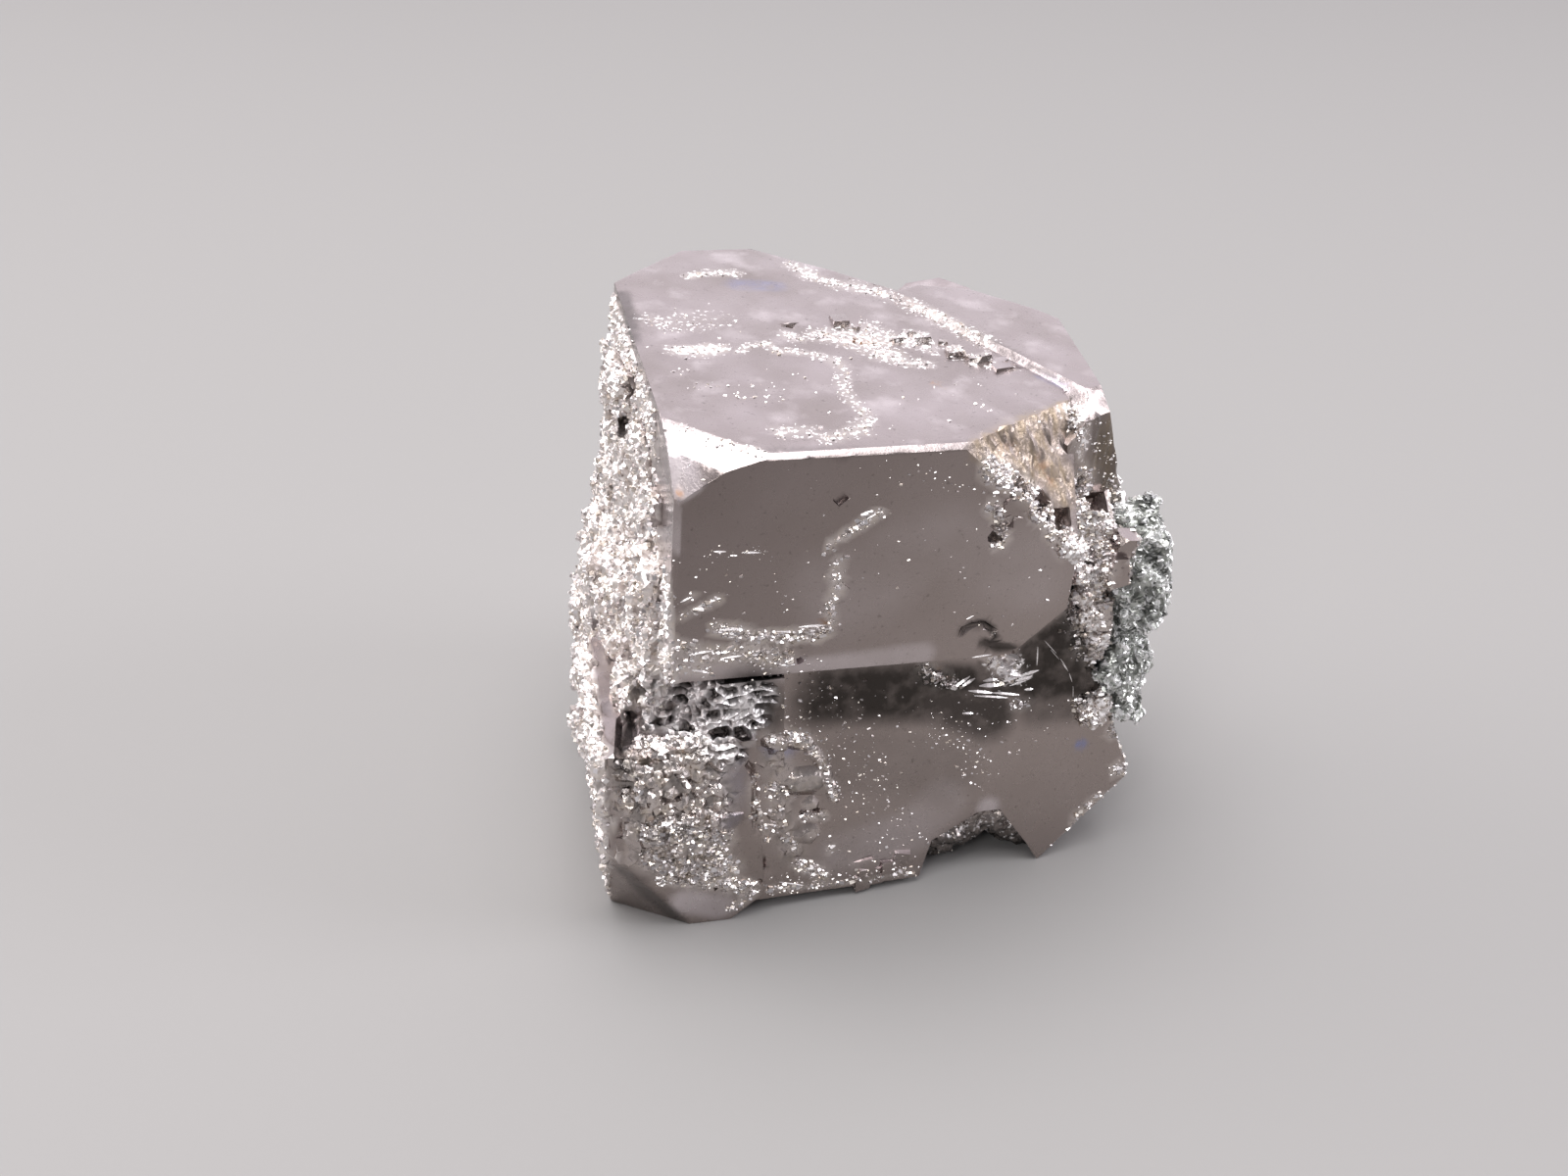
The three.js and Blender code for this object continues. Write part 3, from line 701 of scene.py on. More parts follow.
# Small crystals that grow out of a piece where it is painted.
crystalShapes = {
    "collection": "crystalShapes",
    "cutDistance": 0.58,         # of the cube's width
    "kinds": {                   # directions that are cut off
        "wholeCube": [],
        "oneCorner": [(1, 1, 1)],
        "twoEdges": [(1, 0.5, 0), (-1, 0.4, 0.3)],
        "threeCorners": [(1, 1, 0.8), (-1, 1, 1), (-1, -0.6, -1)],
    },
}
druses = {                       # lean: least and most turn about each axis, in degrees
    "druseLeft": {"weight": "left", "perMm2": 15.0, "size": (0.06, 0.27), "longer": 1.2, "ragged": 1.5,
                  "lean": ((0, 0, 0), (360, 360, 360)), "seed": 3},
    "druseFront": {"weight": "front", "perMm2": 64.0, "size": (0.05, 0.2), "longer": 1.8, "ragged": 1.8,
                   "lean": ((10, -25, -20), (60, 25, 45)), "seed": 5},
    "druseTop": {"weight": "top", "perMm2": 40.0, "size": (0.04, 0.13), "longer": 1.6, "ragged": 2.5,
                 "lean": ((-10, -25, 0), (45, 25, 90)), "seed": 11},
    "druseBack": {"weight": "hidden", "perMm2": 5.0, "size": (0.2, 0.7), "longer": 1.3, "ragged": 1.0,
                  "lean": ((0, 0, 0), (360, 360, 360)), "seed": 6},
    "druseSpecks": {"weight": "speck", "perMm2": 18.0, "size": (0.03, 0.11), "longer": 2.0, "ragged": 2.5,
                    "lean": ((15, -30, -20), (50, 30, 45)), "seed": 8},
}
growth = {
    "gapWidth": 0.5,             # mm, of the bare gaps in a druse
    "gapDetail": 2.0,
    "cover": 0.8,
    "manySmall": 2.5,            # more gives more small crystals and fewer large ones
    "narrowest": 0.7,            # least stretch of a crystal, all ways
    "widest": (1.2, 1.1),        # most, across and deep
}


def makeCrystalShapes():
    # cubes about 1 m wide, whole or with some corners and edges cut off, scaled where they are placed
    collection = bpy.data.collections.new(crystalShapes["collection"])
    for name, cuts in crystalShapes["kinds"].items():
        bpy.ops.object.select_all(action="DESELECT")
        bpy.ops.mesh.primitive_cube_add(size=1)
        shape = bpy.context.active_object
        shape.name = name
        for direction in cuts:
            bpy.ops.object.mode_set(mode="EDIT")
            bpy.ops.mesh.select_all(action="SELECT")
            cutAt = Vector(direction).normalized() * crystalShapes["cutDistance"]
            bpy.ops.mesh.bisect(plane_co=cutAt, plane_no=direction, use_fill=True, clear_outer=True)
            bpy.ops.object.mode_set(mode="OBJECT")
        for holder in shape.users_collection:
            holder.objects.unlink(shape)
        collection.objects.link(shape)
    return collection


def finishCopies(tree, placed, seed, material):
    # the tree's output: the copies as real mesh, each with its own tone
    tone = addNode(tree, "FunctionNodeRandomValue", {2: 0.0, 3: 1.0, "Seed": seed},
                   data_type="FLOAT").outputs[1]
    toned = addNode(tree, "GeometryNodeStoreNamedAttribute",
                    {"Geometry": placed, "Name": "tone", "Value": tone},
                    data_type="FLOAT", domain="INSTANCE")
    real = addNode(tree, "GeometryNodeRealizeInstances", {"Geometry": toned})
    coloured = addNode(tree, "GeometryNodeSetMaterial", {"Geometry": real, "Material": material})
    addNode(tree, "NodeGroupOutput", {0: coloured})


def druseTree(name, facts, shapes, material):
    tree, geometry = newGeometryTree(name)
    place = addNode(tree, "GeometryNodeInputPosition")
    painted = addNode(tree, "GeometryNodeInputNamedAttribute", {"Name": facts["weight"]}, data_type="FLOAT")
    ragged = mottled(tree, place, growth["gapWidth"], growth["gapDetail"], facts["ragged"],
                     growth["cover"], clamp=True)
    grown = addNode(tree, "MULTIPLY", {0: painted, 1: ragged})
    density = addNode(tree, "MULTIPLY", {0: grown, 1: facts["perMm2"] / mm ** 2})
    spots = addNode(tree, "GeometryNodeDistributePointsOnFaces",
                    {"Mesh": geometry, "Density": density, "Seed": facts["seed"]})
    kinds = addNode(tree, "GeometryNodeCollectionInfo",
                    {"Collection": shapes, "Separate Children": True, "Reset Children": True})
    least, most = ([math.radians(angle) for angle in angles] for angles in facts["lean"])
    turn = addNode(tree, "FunctionNodeRandomValue", {0: least, 1: most, "Seed": facts["seed"]},
                   data_type="FLOAT_VECTOR")
    # many small ones and few large
    chance = addNode(tree, "FunctionNodeRandomValue", {2: 0.0, 3: 1.0, "Seed": facts["seed"] + 1},
                     data_type="FLOAT").outputs[1]
    chance = addNode(tree, "POWER", {0: chance, 1: growth["manySmall"]})
    low, high = facts["size"]
    size = addNode(tree, "ShaderNodeMapRange", {"Value": chance, "To Min": low * mm, "To Max": high * mm})
    across, deep = growth["widest"]
    stretch = addNode(tree, "FunctionNodeRandomValue",
                      {0: (growth["narrowest"],) * 3, 1: (facts["longer"], across, deep),
                       "Seed": facts["seed"] + 2}, data_type="FLOAT_VECTOR")
    scale = addNode(tree, "ShaderNodeVectorMath", {0: stretch, "Scale": size}, operation="SCALE")
    placed = addNode(tree, "GeometryNodeInstanceOnPoints",
                     {"Points": spots, "Instance": kinds, "Pick Instance": True, "Rotation": turn,
                      "Scale": scale})
    finishCopies(tree, placed, facts["seed"] + 3, material)
    return tree


def makeDruse(name, facts, body, shapes, material):
    piece = addObject(name, body.data.copy())
    applyModifier(piece, "crystals", "NODES", node_group=druseTree(name, facts, shapes, material))
    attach(piece, "root")
    print(name, len(piece.data.polygons), "faces")


# Thin steps and scratches on the large faces that catch the light: pixels of the photograph from
# end to end, and width in mm.
glints = {
    "taper": 0.25,               # width of the ends
    "endPlace": 0.45,            # of a sliver's length from its middle
    "longest": 4,                # mm: a longer one spans two faces and is left out
    "wider": 1.2,
    "slope": (0, -0.67, 0.74),   # where their upper sides face
    "steps": [
        ((972, 703), (990, 690), 0.12),
        ((981, 701), (995, 692), 0.12),
        ((999, 700), (1021, 699), 0.18),
        ((1003, 695), (1018, 693), 0.12),
        ((1022, 696), (1040, 690), 0.14),
        ((1040, 690), (1060, 684), 0.12),
        ((1030, 700), (1052, 692), 0.08),
        ((988, 705), (1012, 707), 0.12),
        ((1012, 707), (1040, 709), 0.1),
        ((994, 710), (1028, 712), 0.08),
        ((982, 728), (993, 728), 0.09),
        ((1045, 704), (1054, 703), 0.1),
        ((992, 671), (1012, 668), 0.07),
        ((1014, 674), (1026, 670), 0.14),
        ((1018, 682), (1036, 676), 0.18),
        ((1020, 688), (1038, 684), 0.16),
        ((1026, 668), (1041, 673), 0.2),
        ((1024, 685), (1042, 690), 0.18),
        ((1036, 695), (1053, 690), 0.12),
        ((1058, 679), (1059, 660), 0.05),
        ((1066, 654), (1078, 667), 0.03),
        ((1082, 672), (1089, 683), 0.03),
        ((1091, 687), (1094, 696), 0.03),
        ((1095, 700), (1095, 712), 0.02),
        ((1072, 663), (1081, 673), 0.02),
        ((1084, 677), (1090, 685), 0.03),
        ((942, 680), (946, 690), 0.08),
        ((946, 690), (950, 682), 0.08),
        ((728, 563), (741, 563), 0.07),
        ((745, 567), (752, 567), 0.07),
        ((758, 564), (775, 564), 0.08),
        ((731, 643), (758, 641), 0.12),
        ((765, 650), (795, 648), 0.12),
        ((790, 644), (812, 645), 0.1),
        ((815, 640), (842, 638), 0.1),
        ((702, 668), (728, 664), 0.1),
        ((735, 672), (762, 668), 0.1),
        ((796, 679), (811, 678), 0.1),
        ((706, 684), (722, 686), 0.09),
        ((680, 622), (692, 616), 0.07),
        ((694, 615), (706, 609), 0.07),
        ((684, 632), (708, 622), 0.07),
        ((712, 619), (733, 611), 0.07),
        ((898, 522), (884, 530), 0.07),
        ((880, 533), (868, 542), 0.07),
        ((986, 632), (994, 628), 0.05),
        ((1032, 639), (1034, 636), 0.05),
        ((795, 900), (824, 904), 0.05),
    ],
}


def makeGlints(seen, material):
    bpy.ops.object.select_all(action="DESELECT")
    bpy.ops.mesh.primitive_cube_add(size=1)
    sliver = bpy.context.active_object
    bpy.ops.object.mode_set(mode="EDIT")
    bpy.ops.mesh.subdivide(number_cuts=2)
    bpy.ops.mesh.select_all(action="DESELECT")
    bpy.ops.object.mode_set(mode="OBJECT")
    for corner in sliver.data.vertices:
        corner.select = abs(corner.co.x) > glints["endPlace"]
    bpy.ops.object.mode_set(mode="EDIT")
    bpy.ops.transform.resize(value=(1, glints["taper"], glints["taper"]))
    bpy.ops.object.mode_set(mode="OBJECT")

    pieces = []
    for start, end, width in glints["steps"]:
        ends = seen.path([start, end])
        if len(ends) < 2 or (ends[1] - ends[0]).length > glints["longest"]:
            continue
        along = (ends[1] - ends[0]).normalized()
        upper = Vector(glints["slope"])
        upper = (upper - along * upper.dot(along)).normalized()
        axes = Matrix((along, upper.cross(along), upper)).transposed()
        width = width * glints["wider"]
        size = Matrix.Diagonal(((ends[1] - ends[0]).length, width, width, 1))
        piece = addObject("glint", sliver.data.copy())
        piece.data.transform(Matrix.Scale(mm, 4) @ Matrix.Translation((ends[0] + ends[1]) / 2)
                             @ axes.to_4x4() @ size)
        pieces.append(piece)
    bpy.data.objects.remove(sliver)
    steps = joined(pieces, "glintSteps")
    steps.data.materials.append(material)
    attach(steps, "root")
    print("glintSteps", len(steps.data.polygons), "faces")


# Granular masses that are joined to the body: lumps along a path on the photograph, then roughened.
masses = {
    "notchWall": {               # inside the notch of the lower edge, behind the front face
        "path": [(950, 866), (960, 848), (975, 838), (990, 829), (1006, 819), (1022, 822), (1034, 836),
                 (1044, 852), (1052, 866)],
        "behind": (0, 1.75, -1.5),   # mm from the path
        "radius": 1.3,               # mm
        "lumpWidth": 0.9,
        "lumpHeight": 0.6,
        "grain": 0.3,
        "shade": (0.35, 0.95),       # painted shade, at the upper and lower end: darker towards the floor
        # painted highlight: share of white glitter
        "white": 0.05,
        "perMm2": 2.0,
    },
    "rightCrust": {              # between the upper crystal's right end and the franckeite
        "path": [(1095, 560), (1099, 585), (1106, 608), (1113, 630), (1121, 652), (1126, 675), (1128, 697),
                 (1123, 716), (1116, 730)],
        "behind": (0, 0.1, 0),
        "radius": 0.7,
        "lumpWidth": 0.6,
        "lumpHeight": 0.5,
        "grain": 0.8,
        "shade": (0, 0),
        # painted highlight: share of white glitter
        "white": 0.6,
        "perMm2": 14.0,
    },
}
massMesh = {
    "ballDetail": 3,             # 1 is an icosahedron, and each more divides its faces again
    "lumpDetail": 5.0,
    "cell": 0.1,                 # mm
    "lowest": 1.15,              # a lump's middle above the floor, of its radius
    "shadeMargin": 0.6,          # mm from the mass's ends, where its shade stops changing
}


def massTree(name, facts):
    tree, geometry = newGeometryTree(name)
    place = addNode(tree, "GeometryNodeInputPosition")
    coarse = mottled(tree, place, facts["lumpWidth"], massMesh["lumpDetail"])
    height = addNode(tree, "MULTIPLY", {0: coarse, 1: facts["lumpHeight"]})
    moveAlongNormals(tree, geometry, height)
    return tree


def makeMass(name, facts, seen, material, shapes, fresh):
    lumps = []
    for place in seen.path(facts["path"]):
        where = (place + Vector(facts["behind"])) * mm
        where.z = max(where.z, massMesh["lowest"] * facts["radius"] * mm)
        bpy.ops.object.select_all(action="DESELECT")
        bpy.ops.mesh.primitive_ico_sphere_add(subdivisions=massMesh["ballDetail"],
                                              radius=facts["radius"] * mm, location=where)
        bpy.ops.object.transform_apply(location=True, rotation=False, scale=False)
        lumps.append(bpy.context.active_object)
    piece = joined(lumps, name)
    applyModifier(piece, "remesh", "REMESH", mode="VOXEL", voxel_size=massMesh["cell"] * mm)
    applyModifier(piece, "relief", "NODES", node_group=massTree(name + "Relief", facts))
    height = pointsOf(piece)[:, 2]
    upper, lower = facts["shade"]
    margin = massMesh["shadeMargin"]
    raised = rise(height, height.min() + margin, height.max() - margin)
    store(piece, "grain", np.full(len(height), facts["grain"]))
    # painted highlight: white glitter over the mass, by its share of white
    store(piece, "top", np.full(len(height), facts["white"]))
    # painted shade: darker towards the mass's lower end
    store(piece, "shade", lower + (upper - lower) * raised)
    crystals = druses["druseFront"] | {"weight": "grain", "perMm2": facts["perMm2"]}
    makeDruse(name + "Druse", crystals, piece, shapes, fresh)
    only(piece)
    bpy.ops.object.shade_smooth_by_angle(angle=math.radians(pyrite["smoothAngle"]))
    piece.data.materials.append(material)
    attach(piece, "root")
    print(name, len(piece.data.polygons), "faces")


# The franckeite: balls of thin blades.
franckeite = {
    "cell": 0.16,                # mm
    "lumpWidth": 0.85,
    "lumpHeight": 0.2,
    "lumpSteepness": 2.4,
    "sunk": 0.6,                 # of the lumps' height, between them
    "bladesPerMm2": 22.0,
    "bladeSize": (0.16, 0.5),
    "bladeSides": 6,
    "bladeThickness": 0.2,       # of its width
    "bladeLean": 0.6,            # radians from upright
    "bodyTone": 0.1,
    "dullBlade": "#bcbeb9",
    "brightBlade": "#ffffff",
    # painted shade between the clumps
    "hollow": "#2f322c",
    "hollowShadeShare": 0.64,
    "shine": (0.2, 0.6),         # of a blade's tone, where it starts to shine and shines fully
    "lumpClear": 0.7,            # how far the lumps keep the painted shade of the hollows away
    "seed": 21,
}


def franckeiteTree():
    tree, geometry = newGeometryTree("franckeiteRelief")
    place = addNode(tree, "GeometryNodeInputPosition")
    centres = addNode(tree, "ShaderNodeTexVoronoi",
                      {"Vector": place, "Scale": 1 / (franckeite["lumpWidth"] * mm)}).outputs["Distance"]
    lumps = domed(tree, centres, franckeite["lumpSteepness"])
    geometry = addNode(tree, "GeometryNodeStoreNamedAttribute",
                       {"Geometry": geometry, "Name": "lump", "Value": lumps}, data_type="FLOAT")
    raised = addNode(tree, "SUBTRACT", {0: lumps, 1: franckeite["sunk"]})
    height = addNode(tree, "MULTIPLY", {0: raised, 1: franckeite["lumpHeight"]})
    moveAlongNormals(tree, geometry, height)
    return tree


def bladeTree(material):
    tree, geometry = newGeometryTree("franckeiteBlades")
    seed = franckeite["seed"]
    spots = addNode(tree, "GeometryNodeDistributePointsOnFaces",
                    {"Mesh": geometry, "Density": franckeite["bladesPerMm2"] / mm ** 2, "Seed": seed})
    # a blade that is one wide, and scaled where it is placed
    blade = addNode(tree, "GeometryNodeMeshCylinder",
                    {"Vertices": franckeite["bladeSides"], "Radius": 0.5,
                     "Depth": franckeite["bladeThickness"]})
    low, high = franckeite["bladeSize"]
    size = addNode(tree, "FunctionNodeRandomValue", {2: low * mm, 3: high * mm, "Seed": seed},
                   data_type="FLOAT").outputs[1]
    # the blades stand on edge, leaning and turned every way
    edge, lean = math.pi / 2, franckeite["bladeLean"]
    leaning = addNode(tree, "FunctionNodeRandomValue",
                      {0: (edge - lean, -lean, 0), 1: (edge + lean, lean, 0), "Seed": seed + 1},
                      data_type="FLOAT_VECTOR")
    spin = addNode(tree, "FunctionNodeRandomValue", {0: (0, 0, 0), 1: (0, 0, math.tau), "Seed": seed + 2},
                   data_type="FLOAT_VECTOR")
    turned = spots.outputs["Rotation"]
    for turn in (spin, leaning):
        turned = addNode(tree, "FunctionNodeRotateRotation", {"Rotation": turned, "Rotate By": turn},
                         rotation_space="LOCAL")
    placed = addNode(tree, "GeometryNodeInstanceOnPoints",
                     {"Points": spots, "Instance": blade, "Rotation": turned, "Scale": size})
    finishCopies(tree, placed, seed + 3, material)
    return tree


def makeFranckeite(material):
    body = copyOfNode("franckeite_cluster", "franckeiteBody")
    applyModifier(body, "remesh", "REMESH", mode="VOXEL", voxel_size=franckeite["cell"] * mm)
    applyModifier(body, "relief", "NODES", node_group=franckeiteTree())
    blades = addObject("franckeiteBlades", body.data.copy())
    applyModifier(blades, "blades", "NODES", node_group=bladeTree(material))
    body.data.materials.append(material)
    store(body, "tone", np.full(len(body.data.vertices), franckeite["bodyTone"]))
    only(body)
    bpy.ops.object.shade_flat()
    for piece in (body, blades):
        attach(piece, "root")
        print(piece.name, len(piece.data.polygons), "faces")
    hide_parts("franckeite_cluster")


# Colours and patterns of the materials.
tarnish = {
    "pale": "#b8aeb0",
    "cloud": "#dcd3d5",
    "brown": "#968c8a",
    "paintedShade": "#a59993",
    # painted shade of the upright front faces, at its light and its deep end
    "paintedShadeDeep": "#807571",
    "dark": "#2c2926",
    "steel": "#c9c2c1",
    "fresh": "#dcd4d0",
    "white": "#fbf7f7",
    "bloom": "#a08f7a",
    "rust": "#97683c",
    "gold": "#c9b99a",
    "blue": "#8490c4",
    "roughness": (0.2, 0.34),
    "roughOfLeft": 0.16,         # added to the roughness
    "roughOfDull": 0.3,
    "powder": 0.6,               # how far a powdery spot stops being metallic
    "upward": 0.8,               # of the normal, where a face counts as a top
    "paintedShadeTurn": (-0.3, -0.8),    # of the normal, where the front's painted shade starts and is full
    "paintedShadeSlant": (-32, -6),      # mm from the upper left to the lower right
    # painted sheen of the pale patches: added to the cloud's share
    "paleSheen": 0.35,
    "streakSquash": (1, 1, 0.1),
    "facetWidth": 0.15,          # mm
    "tilts": {"top": 0.3, "net": 0.6, "hummock": 0.5, "dome": 0.4, "bloom": 0.2},
    "calmOfLeft": 0.5,           # share of the tilts that the left side goes without
    "glitterAbove": 0.02,        # of the top's weight, where its glitter may show
    "valleyShadeEnd": 3.0,            # more ends the painted shade of the valleys lower on the hummocks
    "scatter": {"bloom": 0.5, "glitter": 0.8, "ridge": 0.35},
    "laterDigits": 7.3,          # a small crystal's tone times this gives it a second chance
    "strawAbove": 0.72,          # of that chance, where a small crystal is straw yellow
}
shares = {                       # how much of each coat shows at most
    # painted sheen on the upward faces
    "upwardSheen": 0.7,
    # painted shade of the upright front faces
    "paintedShade": 0.8,
    "flecks": 0.3,
    "lumps": 0.7,
    # painted highlight: white of the glitter and of the left side
    "glitter": 1.8,
    "sheenOfLeft": 0.35,
    # painted shade of the net's hollows and of the hummocks' valleys
    "hollows": 0.95,
    "valleyShades": 0.7,
    "shade": 0.92,
    "straw": 0.35,
    "freshClouds": 0.2,
}
patterns = {                     # width in mm and detail, and then contrast and level
    "cloud": (4.0, 3.0, 0.9, 0.5),
    # painted sheen on the upward faces
    "upwardSheen": (1.9, 5.0, 1.8, -0.15),
    "flecks": (0.22, 4.0, 5.0, -1.3),
    "streaks": (0.35, 3.0, 1.2, 0.65),
    "blue": (0.6, 3.0, 0.8, 0.55),
    "gold": (0.6, 2.0, 0.75, 0.05),
    "glitter": (0.24, 3.0, 4.0, -0.9),
    # ragged edge of the painted shade
    "paintedShade": (0.9, 4.0, 0.5, 0.95),
    "rust": (0.5, 4.0, 2.5, 0.45),
    "polish": (1.2, 5.0),
    "pitting": (0.12, 4.0),
    "waves": (2.4, 2.0),
    "freshCloud": (1.5, 3.0, 0.9, 0.35),
    "freshRust": (0.7, 4.0, 2.5, 0.2),
    "growthLines": (0.08, 3.0),
    "powder": (0.15, 3.0, 1.5, 0.75),
    "clumps": (0.7, 4.0, 3.0, 0.55),
}
bumps = {
    "pitting": {"Strength": 0.45, "Distance": 0.01 * mm},
    "waves": {"Strength": 0.5, "Distance": 0.05 * mm},
    "growthLines": {"Strength": 0.2, "Distance": 0.01 * mm},
}
finishes = {
    "tarnishedPyrite": {},       # from its patterns
    "freshPyrite": {"Metallic": 1.0, "Roughness": 0.28},
    "glintPyrite": {"Metallic": 0.85, "Roughness": 0.3},
    "bladedFranckeite": {"Metallic": 0.75, "Roughness": 0.3},
    "paleCard": {"Roughness": 0.85},
}


def newMaterial(name):
    material = bpy.data.materials.new(name)
    material.use_nodes = True
    tree = material.node_tree
    tree.nodes.clear()
    place = addNode(tree, "ShaderNodeTexCoord").outputs["Object"]
    return material, tree, place


def finishMaterial(material, name, inputs):
    shader = addNode(material.node_tree, "ShaderNodeBsdfPrincipled", finishes[name] | inputs)
    addNode(material.node_tree, "ShaderNodeOutputMaterial", {"Surface": shader})
    return material


def coated(tree, ground, coats):
    # coats over a colour: each is a colour, and factors whose product is how much of it shows
    colour = hexColour(ground)
    for coat, share, *factors in coats:
        if isinstance(coat, str):
            coat = hexColour(coat)
        for factor in factors:
            share = addNode(tree, "MULTIPLY", {0: share, 1: factor})
        colour = addNode(tree, "ShaderNodeMix", {0: share, 6: colour, 7: coat}, data_type="RGBA").outputs[2]
    return colour


def tarnishedPyrite():
    # cubic iron sulphide, its brassy metal dulled to grey: satin mirrors with fine pits and a brown bloom
    material, tree, place = newMaterial("tarnishedPyrite")
    names = ("top", "grain", "left", "net", "hummock", "dome", "ridge", "swell",
             "rust", "bloom", "shade", "blue", "pale")
    painted = {name: addNode(tree, "ShaderNodeAttribute", attribute_name=name).outputs["Fac"]
               for name in names}
    at = addNode(tree, "ShaderNodeSeparateXYZ", {0: place}).outputs
    surface = addNode(tree, "ShaderNodeNewGeometry").outputs
    facing = addNode(tree, "ShaderNodeSeparateXYZ", {0: surface["True Normal"]}).outputs
    spread = {name: mottled(tree, place, *patterns[name], clamp=True)
              for name in ("cloud", "upwardSheen", "flecks", "blue", "gold", "paintedShade", "rust")}

    # painted sheen: soft pale wisps on the upward faces, where the light from above falls
    upward = addNode(tree, "GREATER_THAN", {0: facing[2], 1: tarnish["upward"]})

    # painted shade: the upright front faces are darker and browner, darkest at the upper left, standing in
    # for the reflection of a dark floor
    start, full = tarnish["paintedShadeTurn"]
    shadedFront = addNode(tree, "ShaderNodeMapRange", {"Value": facing[1], "From Min": start, "From Max": full},
                     interpolation_type="SMOOTHSTEP")
    slant = addNode(tree, "SUBTRACT", {0: at[0], 1: at[2]})
    darkest, lightest = tarnish["paintedShadeSlant"]
    across = addNode(tree, "ShaderNodeMapRange",
                     {"Value": slant, "From Min": darkest * mm, "From Max": lightest * mm})
    paintedShade = coated(tree, tarnish["paintedShadeDeep"], [(tarnish["paintedShade"], across)])

    # painted sheen: the pale patches take the colour of the cloud
    paleSheen = addNode(tree, "ADD", {0: spread["cloud"], 1: tarnish["paleSheen"]})

    # brown bloom in upright streaks
    upright = addNode(tree, "ShaderNodeVectorMath", {0: place, 1: tarnish["streakSquash"]},
                      operation="MULTIPLY")
    streaks = mottled(tree, upright, *patterns["streaks"], clamp=True)
    bloomed = addNode(tree, "MULTIPLY", {0: painted["bloom"], 1: streaks})

    # grown faces in the granular parts are fresher and brighter, with a trace of gold
    grown = strongest(tree, painted["grain"], [(painted["top"], 1.0), (painted["hummock"], shares["lumps"]),
                                               (painted["dome"], shares["lumps"])])

    # painted highlight: white stands in for the sparkle of the top's glittering patches, and whitens the
    # fused crystals of the left side as their sheen
    onTop = addNode(tree, "GREATER_THAN", {0: painted["top"], 1: tarnish["glitterAbove"]})
    glitter = mottled(tree, place, *patterns["glitter"])
    glitter = addNode(tree, "MULTIPLY_ADD", {0: painted["top"], 1: shares["glitter"], 2: glitter},
                      use_clamp=True)
    glitter = addNode(tree, "MULTIPLY", {0: glitter, 1: onTop})
    sparkleWhite = strongest(tree, glitter, [(painted["left"], shares["sheenOfLeft"])])

    # painted shade: dark hollows between the ridges of the net and between the hummocks, and darker under
    # the ledge
    between = addNode(tree, "SUBTRACT", {0: 1.0, 1: painted["ridge"]})
    hollow = addNode(tree, "MULTIPLY", {0: painted["net"], 1: between}, use_clamp=True)
    valleyShade = addNode(tree, "MULTIPLY_ADD",
                     {0: painted["swell"], 1: -tarnish["valleyShadeEnd"], 2: painted["hummock"]}, use_clamp=True)
    shade = addNode(tree, "MULTIPLY", {0: painted["shade"], 1: spread["paintedShade"]})
    shade = strongest(tree, shade, [(hollow, shares["hollows"]), (valleyShade, shares["valleyShades"])])
    # painted highlight: the ridges of the net and the glitter are white
    bright = strongest(tree, painted["ridge"], [(glitter, 1.0)])

    rusty = addNode(tree, "MULTIPLY", {0: painted["rust"], 1: spread["rust"]})

    metal = coated(tree, tarnish["brown"], [
        (tarnish["pale"], spread["cloud"]),
        (tarnish["cloud"], upward, spread["upwardSheen"], shares["upwardSheen"]),
        (paintedShade, shadedFront, shares["paintedShade"]),
        (tarnish["cloud"], painted["pale"], paleSheen),
        (tarnish["dark"], spread["flecks"], shares["flecks"]),
        (tarnish["bloom"], bloomed),
        (tarnish["blue"], painted["blue"], spread["blue"]),
        (tarnish["fresh"], grown),
        (tarnish["gold"], spread["gold"], grown),
        (tarnish["white"], sparkleWhite),
        (tarnish["dark"], shade, shares["shade"]),
        (tarnish["white"], bright),
        (tarnish["rust"], rusty),
    ])

    # the white glitter and the net's ridges, painted highlights, scatter the light as rust and bloom do
    dull = rusty
    scattering = {"bloom": bloomed, "glitter": glitter, "ridge": painted["ridge"]}
    for name, share in tarnish["scatter"].items():
        dull = addNode(tree, "MULTIPLY_ADD", {0: scattering[name], 1: share, 2: dull}, use_clamp=True)
    low, high = tarnish["roughness"]
    rough = addNode(tree, "ShaderNodeMapRange", {"Value": mottled(tree, place, *patterns["polish"]),
                    "From Min": -1.0, "To Min": low, "To Max": high})
    for duller, more in ((painted["left"], tarnish["roughOfLeft"]), (dull, tarnish["roughOfDull"])):
        rough = addNode(tree, "MULTIPLY_ADD", {0: duller, 1: more, 2: rough})
    metallic = addNode(tree, "MULTIPLY_ADD", {0: dull, 1: -tarnish["powder"], 2: 1.0})

    # small flat facets at random tilts to all sides, only where the surface is granular
    cells = addNode(tree, "ShaderNodeTexVoronoi",
                    {"Vector": place, "Scale": 1 / (tarnish["facetWidth"] * mm)}).outputs["Color"]
    tilt = addNode(tree, "ShaderNodeVectorMath", {0: cells, 1: (0.5,) * 3}, operation="SUBTRACT")
    uneven = addNode(tree, "MULTIPLY_ADD",
                     {0: painted["left"], 1: -tarnish["calmOfLeft"], 2: painted["grain"]})
    uneven = strongest(tree, uneven, [(painted[name], share) for name, share in tarnish["tilts"].items()])
    tilted = addNode(tree, "ShaderNodeVectorMath", {0: tilt, "Scale": uneven}, operation="SCALE")
    facets = addNode(tree, "ShaderNodeVectorMath", {0: surface["Normal"], 1: tilted}, operation="ADD")
    facets = addNode(tree, "ShaderNodeVectorMath", {0: facets}, operation="NORMALIZE")
    normal = facets
    for name in ("pitting", "waves"):
        height = mottled(tree, place, *patterns[name])
        normal = addNode(tree, "ShaderNodeBump", bumps[name] | {"Height": height, "Normal": normal})
    return finishMaterial(material, "tarnishedPyrite", {"Base Color": metal, "Roughness": rough,
                                                        "Metallic": metallic, "Normal": normal})


